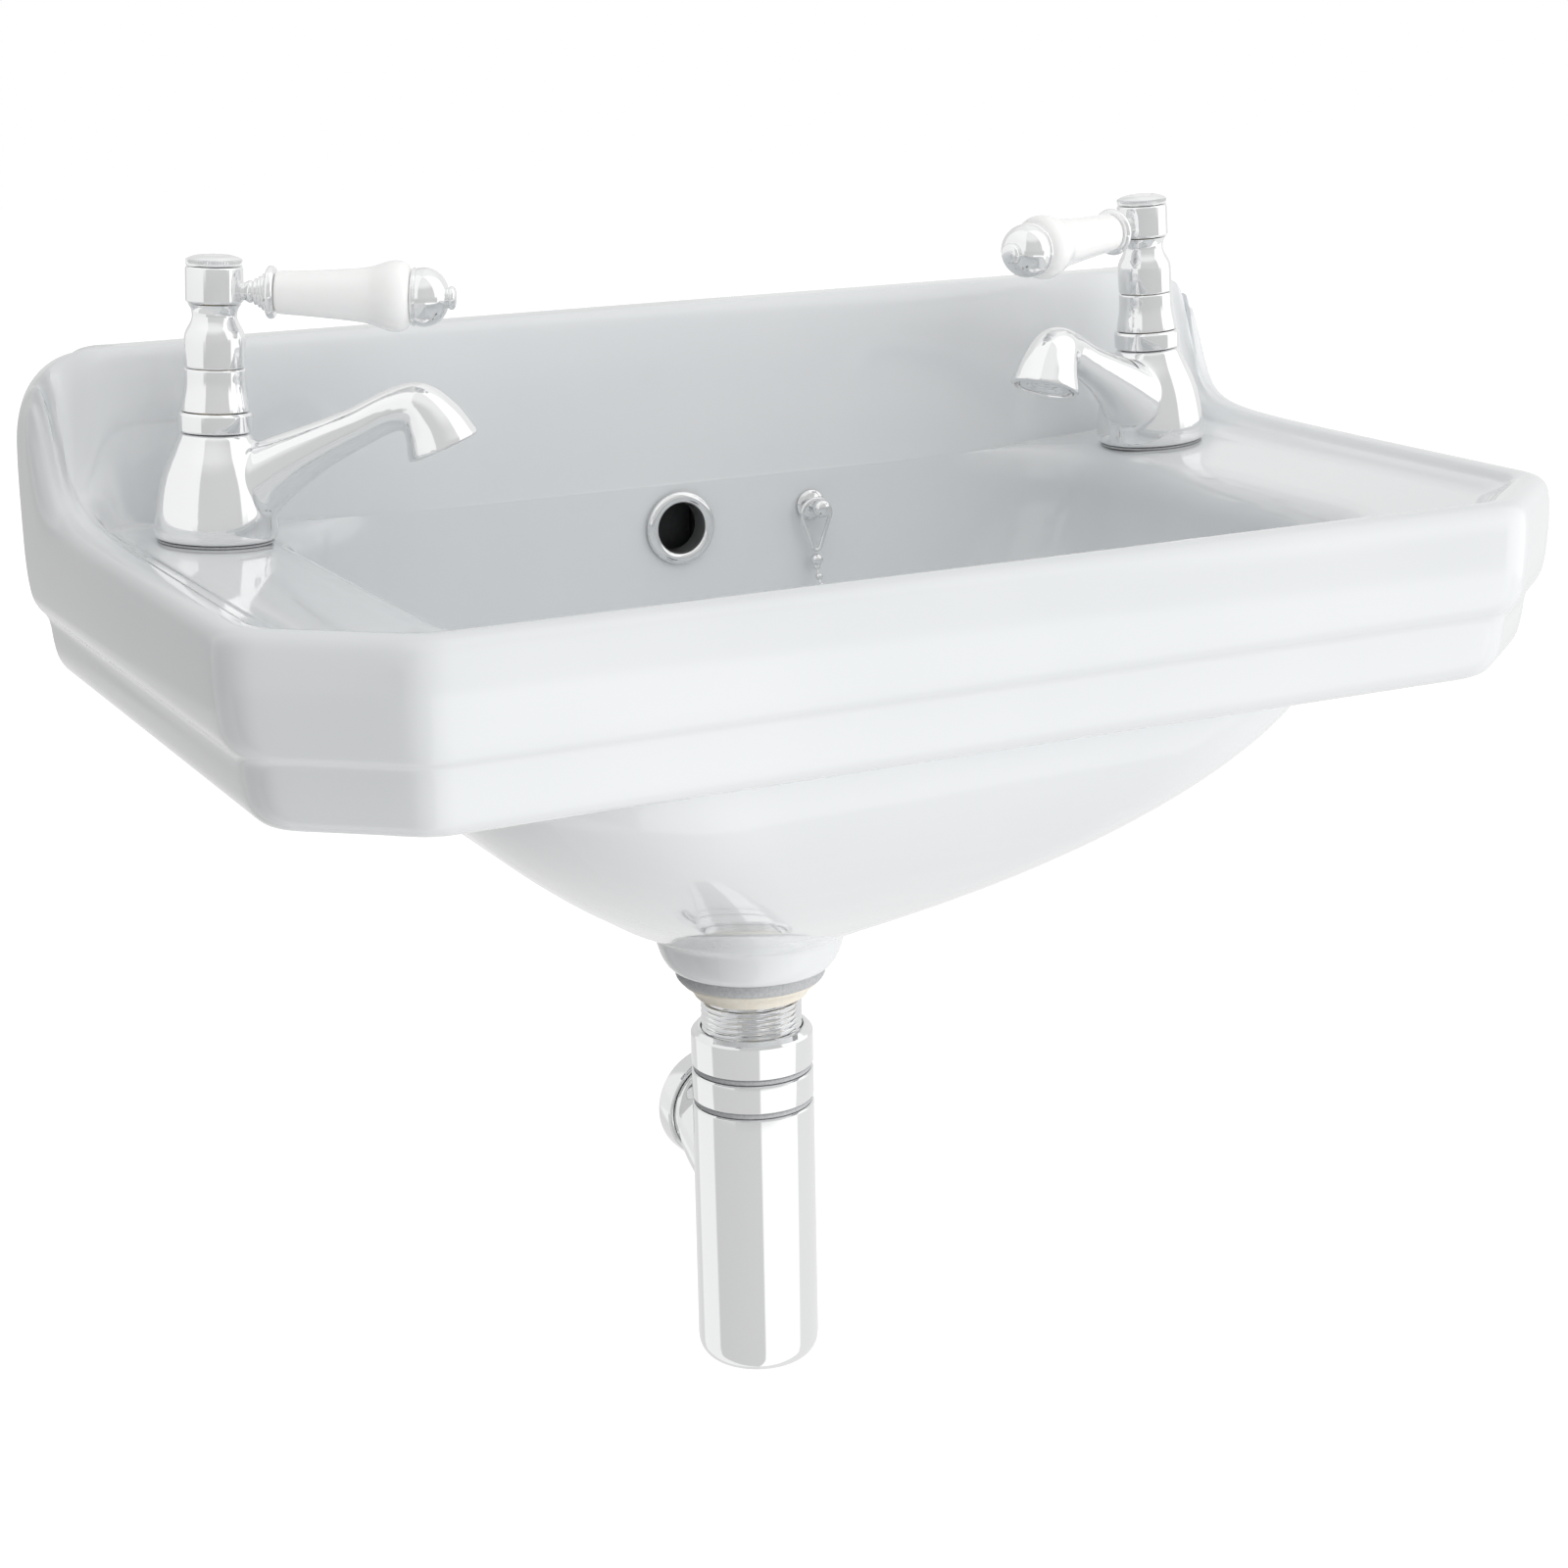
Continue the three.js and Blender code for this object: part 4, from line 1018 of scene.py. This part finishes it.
def walk(points, step):
    """Points at equal steps along a line of points, both ends included."""
    total = sum((b - a).length for a, b in zip(points, points[1:]))
    count = max(1, round(total / step))
    spacing = total / count
    made = [points[0]]
    left = spacing
    for a, b in zip(points, points[1:]):
        start = a.copy()
        while (b - start).length >= left:
            start = start + (b - start).normalized() * left
            made.append(start.copy())
            left = spacing
        left -= (b - start).length
    if len(made) <= count:
        made.append(points[-1])
    return made, total


def ball_and_wire(centres, radius, wire):
    """Beads with a thin rod between each pair, in metres."""
    work = bmesh.new()
    for centre in centres:
        bmesh.ops.create_uvsphere(work, u_segments=20, v_segments=12, radius=radius,
                                  matrix=Matrix.Translation(centre))
    for a, b in zip(centres, centres[1:]):
        along = b - a
        turn = along.to_track_quat("Z", "Y").to_matrix().to_4x4()
        bmesh.ops.create_cone(work, cap_ends=True, segments=8, radius1=wire, radius2=wire,
                              depth=along.length, matrix=Matrix.Translation((a + b) / 2) @ turn)
    return work


def bead_chain(plug, connector):
    line = [Vector(p) for p in through(CHAIN_ROUTE, 8)]
    centres, total = walk(line, BEAD_STEP * MM)
    work = ball_and_wire(centres, BEAD / 2 * MM, BEAD_WIRE * MM)
    mesh = bpy.data.meshes.new("plug_chain")
    work.to_mesh(mesh)
    work.free()
    chain = bpy.data.objects.new("plug_chain", mesh)
    bpy.context.scene.collection.objects.link(chain)
    mesh.materials.append(CHROME)
    smooth(mesh, 60)
    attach(chain, ROOT)
    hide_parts("bead_chain")


def plug_piece():
    centre = Vector((34, -168.6, -149.2))
    tilt = math.radians(-33.5)
    matrix = Matrix.Translation(centre) @ Matrix.Rotation(tilt, 4, "X")
    profile = [(0, 0.6), (12.5, 0.6), (13, 1.4), (14, 1.4), (14.5, 0.6), (16.2, 0.6), (17, 1.4),
               (18.6, 9.8), (19.4, 10.4), (19.4, 11.4), (17.6, 12.2), (3.4, 13), (2.6, 14), (2.6, 16),
               (1.6, 16.5), (0, 16.5)]
    return turned_piece("basin_plug", profile, BLACK_RUBBER, matrix, 0.5, nodes=["plug"])


def connector_piece():
    matrix = Matrix.Translation(centre_of("chain_connector"))
    shell = through([(2, -2), (2.7, -0.6), (2.5, 1), (1.4, 2.1)], 4)
    profile = [(0, -2.6), (1.2, -2.5)] + shell + [(0, 2.5)]
    return turned_piece("chain_clasp", profile, CHROME, matrix, 0.2, 48, nodes=["chain_connector"])


def stay_piece():
    high = high_of("chain_stay")
    centre = centre_of("chain_stay")
    back = high.y - 12
    matrix = Matrix.Translation((centre.x, back, centre.z)) @ Matrix.Rotation(math.pi / 2, 4, "X")
    knob = through([(2.2, 8), (3.1, 8.7), (3.9, 10.2), (3.8, 12), (2.7, 13.5), (1.2, 14), (0, 14.1)], 4)
    plate = [(0, -12), (2.4, -12), (2.4, 0.3), (6.4, 0.3), (6.4, 0.9), (5.2, 1.8), (2.9, 2.2), (2.2, 3)]
    turned_piece("chain_hook", plate + knob, CHROME, matrix, 0.3, 64, nodes=["chain_stay"])


def link_piece():
    """Pear-shaped wire link: a round wire swept round the pear's centre line."""
    centre = centre_of("chain_link")
    high = high_of("chain_link")
    top = 6.8
    bottom = 2
    wire = 0.9
    upper = high.z - top - wire
    lower = upper - 13
    line = []
    for k in range(17):
        angle = math.pi * k / 16
        line.append((top * math.cos(angle), upper + top * math.sin(angle)))
    for k in range(13):
        angle = math.pi + math.pi * k / 12
        line.append((bottom * math.cos(angle), lower + bottom * math.sin(angle)))
    rings = []
    for i, (x, z) in enumerate(line):
        ahead = Vector(line[(i + 1) % len(line)]) - Vector(line[i - 1])
        side = Vector((ahead.y, -ahead.x)).normalized()
        rings.append([(centre.x + x + side.x * out, centre.y + across, z + side.y * out)
                      for out, across in circle(wire, 12)])
    piece("chain_pear_link", *skin(rings, closed_loop=True), CHROME, sharp=60, nodes=["chain_link"])


bead_chain(plug_piece(), connector_piece())
stay_piece()
link_piece()


# ---------------------------------------------------------------- floor and light, in metres
FLOOR_HALF = 12
FLOOR_HEIGHT = -0.85


def make_floor():
    """White bright floor, where the floor of a room would be."""
    corners = [(x * FLOOR_HALF, y * FLOOR_HALF, FLOOR_HEIGHT)
               for x, y in ((-1, -1), (1, -1), (1, 1), (-1, 1))]
    mesh = bpy.data.meshes.new("floor")
    mesh.from_pydata(corners, [], [(0, 1, 2, 3)])
    floor = bpy.data.objects.new("floor", mesh)
    bpy.context.scene.collection.objects.link(floor)
    material, shader = new_material("pale_floor", (0.1, 0.1, 0.1), 0.9)
    shader.inputs["Emission Color"].default_value = (1, 1, 1, 1)
    shader.inputs["Emission Strength"].default_value = 1.0
    mesh.materials.append(material)
    floor.visible_diffuse = False
    floor.visible_glossy = False
    floor.visible_shadow = False


# Brightness of the studio at four heights. Each row goes round from behind on the left, through the
# left, a dark screen in front and a white softbox on the right, to behind on the right. The sectors
# end at these angles in degrees, counted to the right from the camera's side of the object.
SECTOR_ENDS = (-130, -81, 14, 90)
SECTOR_BLEND = 1.5                   # degrees on each side of an end
MIDDLE_LINE = (-0.1, 0.1)            # heights between which one row turns into the next
TOP_LINE = (0.5, 0.8)
SOFT_FLOOR_LINE = (-0.6, -0.4)
MIRRORED_FLOOR_LINE = (-0.3, -0.27)
SOFT_LIGHT = {
    "below": (0.25, 0.2, 0.3, 1.6, 0.6),
    "level": (0.2, 0.15, 0.2, 2.05, 0.5),
    "upper": (0.3, 0.25, 0.4, 1.1, 0.5),
    "top": (0.9, 0.9, 0.95, 1.05, 0.95),
}
# What shiny things mirror: the same screens and softboxes, seen sharp.
MIRRORED_ENDS = {
    "below": SECTOR_ENDS,
    "level": (-130, -34, 72, 125),
    "upper": (-130, -24, 60, 125),
    "top": (-130, -24, 60, 125),
}
MIRRORED = {
    "below": (0.85, 1.1, 0.74, 1.3, 0.9),
    "level": (0.75, 1.0, 0.6, 1.3, 0.85),
    "upper": (0.8, 1.05, 0.66, 1.25, 0.9),
    "top": (0.95, 1.1, 0.95, 1.2, 1.0),
}


def side_ramp(tree, source, levels, ends):
    """Colour ramp of brightness by compass angle."""
    to_camera = CAMERA_AZIMUTH - 180
    stops = []
    for number, value in enumerate(levels):
        start = ends[number - 1] + SECTOR_BLEND if number else -179.9
        end = ends[number] - SECTOR_BLEND if number < len(ends) else 179.9
        for degrees in (start, end):
            compass = (to_camera - degrees + 180) % 360 - 180
            stops.append((compass / 360 + 0.5, value))
    stops.sort()
    ramp = tree.nodes.new("ShaderNodeValToRGB")
    elements = ramp.color_ramp.elements
    while len(elements) < len(stops):
        elements.new(0.5)
    for element, (position, value) in zip(elements, stops):
        element.position = position
        element.color = (value, value, value, 1)
    tree.links.new(source, ramp.inputs["Fac"])
    return ramp.outputs["Color"]


def blend(tree, source, low, high, colour_a, colour_b):
    """Colour a below the low height, colour b above the high one."""
    height = tree.nodes.new("ShaderNodeMapRange")
    height.interpolation_type = "SMOOTHSTEP"
    height.inputs["From Min"].default_value = low
    height.inputs["From Max"].default_value = high
    tree.links.new(source, height.inputs["Value"])
    mix = tree.nodes.new("ShaderNodeMix")
    mix.data_type = "RGBA"
    tree.links.new(height.outputs["Result"], mix.inputs["Factor"])
    tree.links.new(colour_a, mix.inputs[6])
    tree.links.new(colour_b, mix.inputs[7])
    return mix.outputs[2]


def room_colour(tree, height, compass, rows, ends, floor_line):
    """Colour of the room by height and compass angle, from four rows of brightness."""
    below, level, upper, top = [side_ramp(tree, compass, rows[name], ends[name]) for name in rows]
    colour = blend(tree, height, *floor_line, below, level)
    colour = blend(tree, height, *MIDDLE_LINE, colour, upper)
    return blend(tree, height, *TOP_LINE, colour, top)


def room_directions(tree):
    """Height of a direction, and its compass angle from 0 to 1."""
    place = tree.nodes.new("ShaderNodeTexCoord")
    split = tree.nodes.new("ShaderNodeSeparateXYZ")
    tree.links.new(place.outputs["Generated"], split.inputs["Vector"])
    angle = tree.nodes.new("ShaderNodeMath")
    angle.operation = "ARCTAN2"
    tree.links.new(split.outputs["X"], angle.inputs[0])
    tree.links.new(split.outputs["Y"], angle.inputs[1])
    turn = tree.nodes.new("ShaderNodeMapRange")
    turn.inputs["From Min"].default_value = -math.pi
    turn.inputs["From Max"].default_value = math.pi
    tree.links.new(angle.outputs["Value"], turn.inputs["Value"])
    return split.outputs["Z"], turn.outputs["Result"]


def make_light():
    """Soft room of light round the object, and a plain white background for the camera."""
    world = bpy.data.worlds.new("studio")
    bpy.context.scene.world = world
    world.use_nodes = True
    tree = world.node_tree
    height, compass = room_directions(tree)
    path = tree.nodes.new("ShaderNodeLightPath")
    shader = tree.nodes["Background"]
    even = dict.fromkeys(SOFT_LIGHT, SECTOR_ENDS)
    soft = room_colour(tree, height, compass, SOFT_LIGHT, even, SOFT_FLOOR_LINE)
    tree.links.new(soft, shader.inputs["Color"])
    mirrored = tree.nodes.new("ShaderNodeBackground")
    sharp = room_colour(tree, height, compass, MIRRORED, MIRRORED_ENDS, MIRRORED_FLOOR_LINE)
    tree.links.new(sharp, mirrored.inputs["Color"])
    white = tree.nodes.new("ShaderNodeBackground")
    white.inputs["Color"].default_value = (1, 1, 1, 1)
    for ray, other in (("Is Glossy Ray", mirrored), ("Is Camera Ray", white)):
        mix = tree.nodes.new("ShaderNodeMixShader")
        tree.links.new(path.outputs[ray], mix.inputs["Fac"])
        tree.links.new(shader.outputs[0], mix.inputs[1])
        tree.links.new(other.outputs[0], mix.inputs[2])
        shader = mix
    tree.links.new(shader.outputs[0], tree.nodes["World Output"].inputs["Surface"])


make_floor()
make_light()
bpy.context.scene.view_settings.view_transform = "Standard"
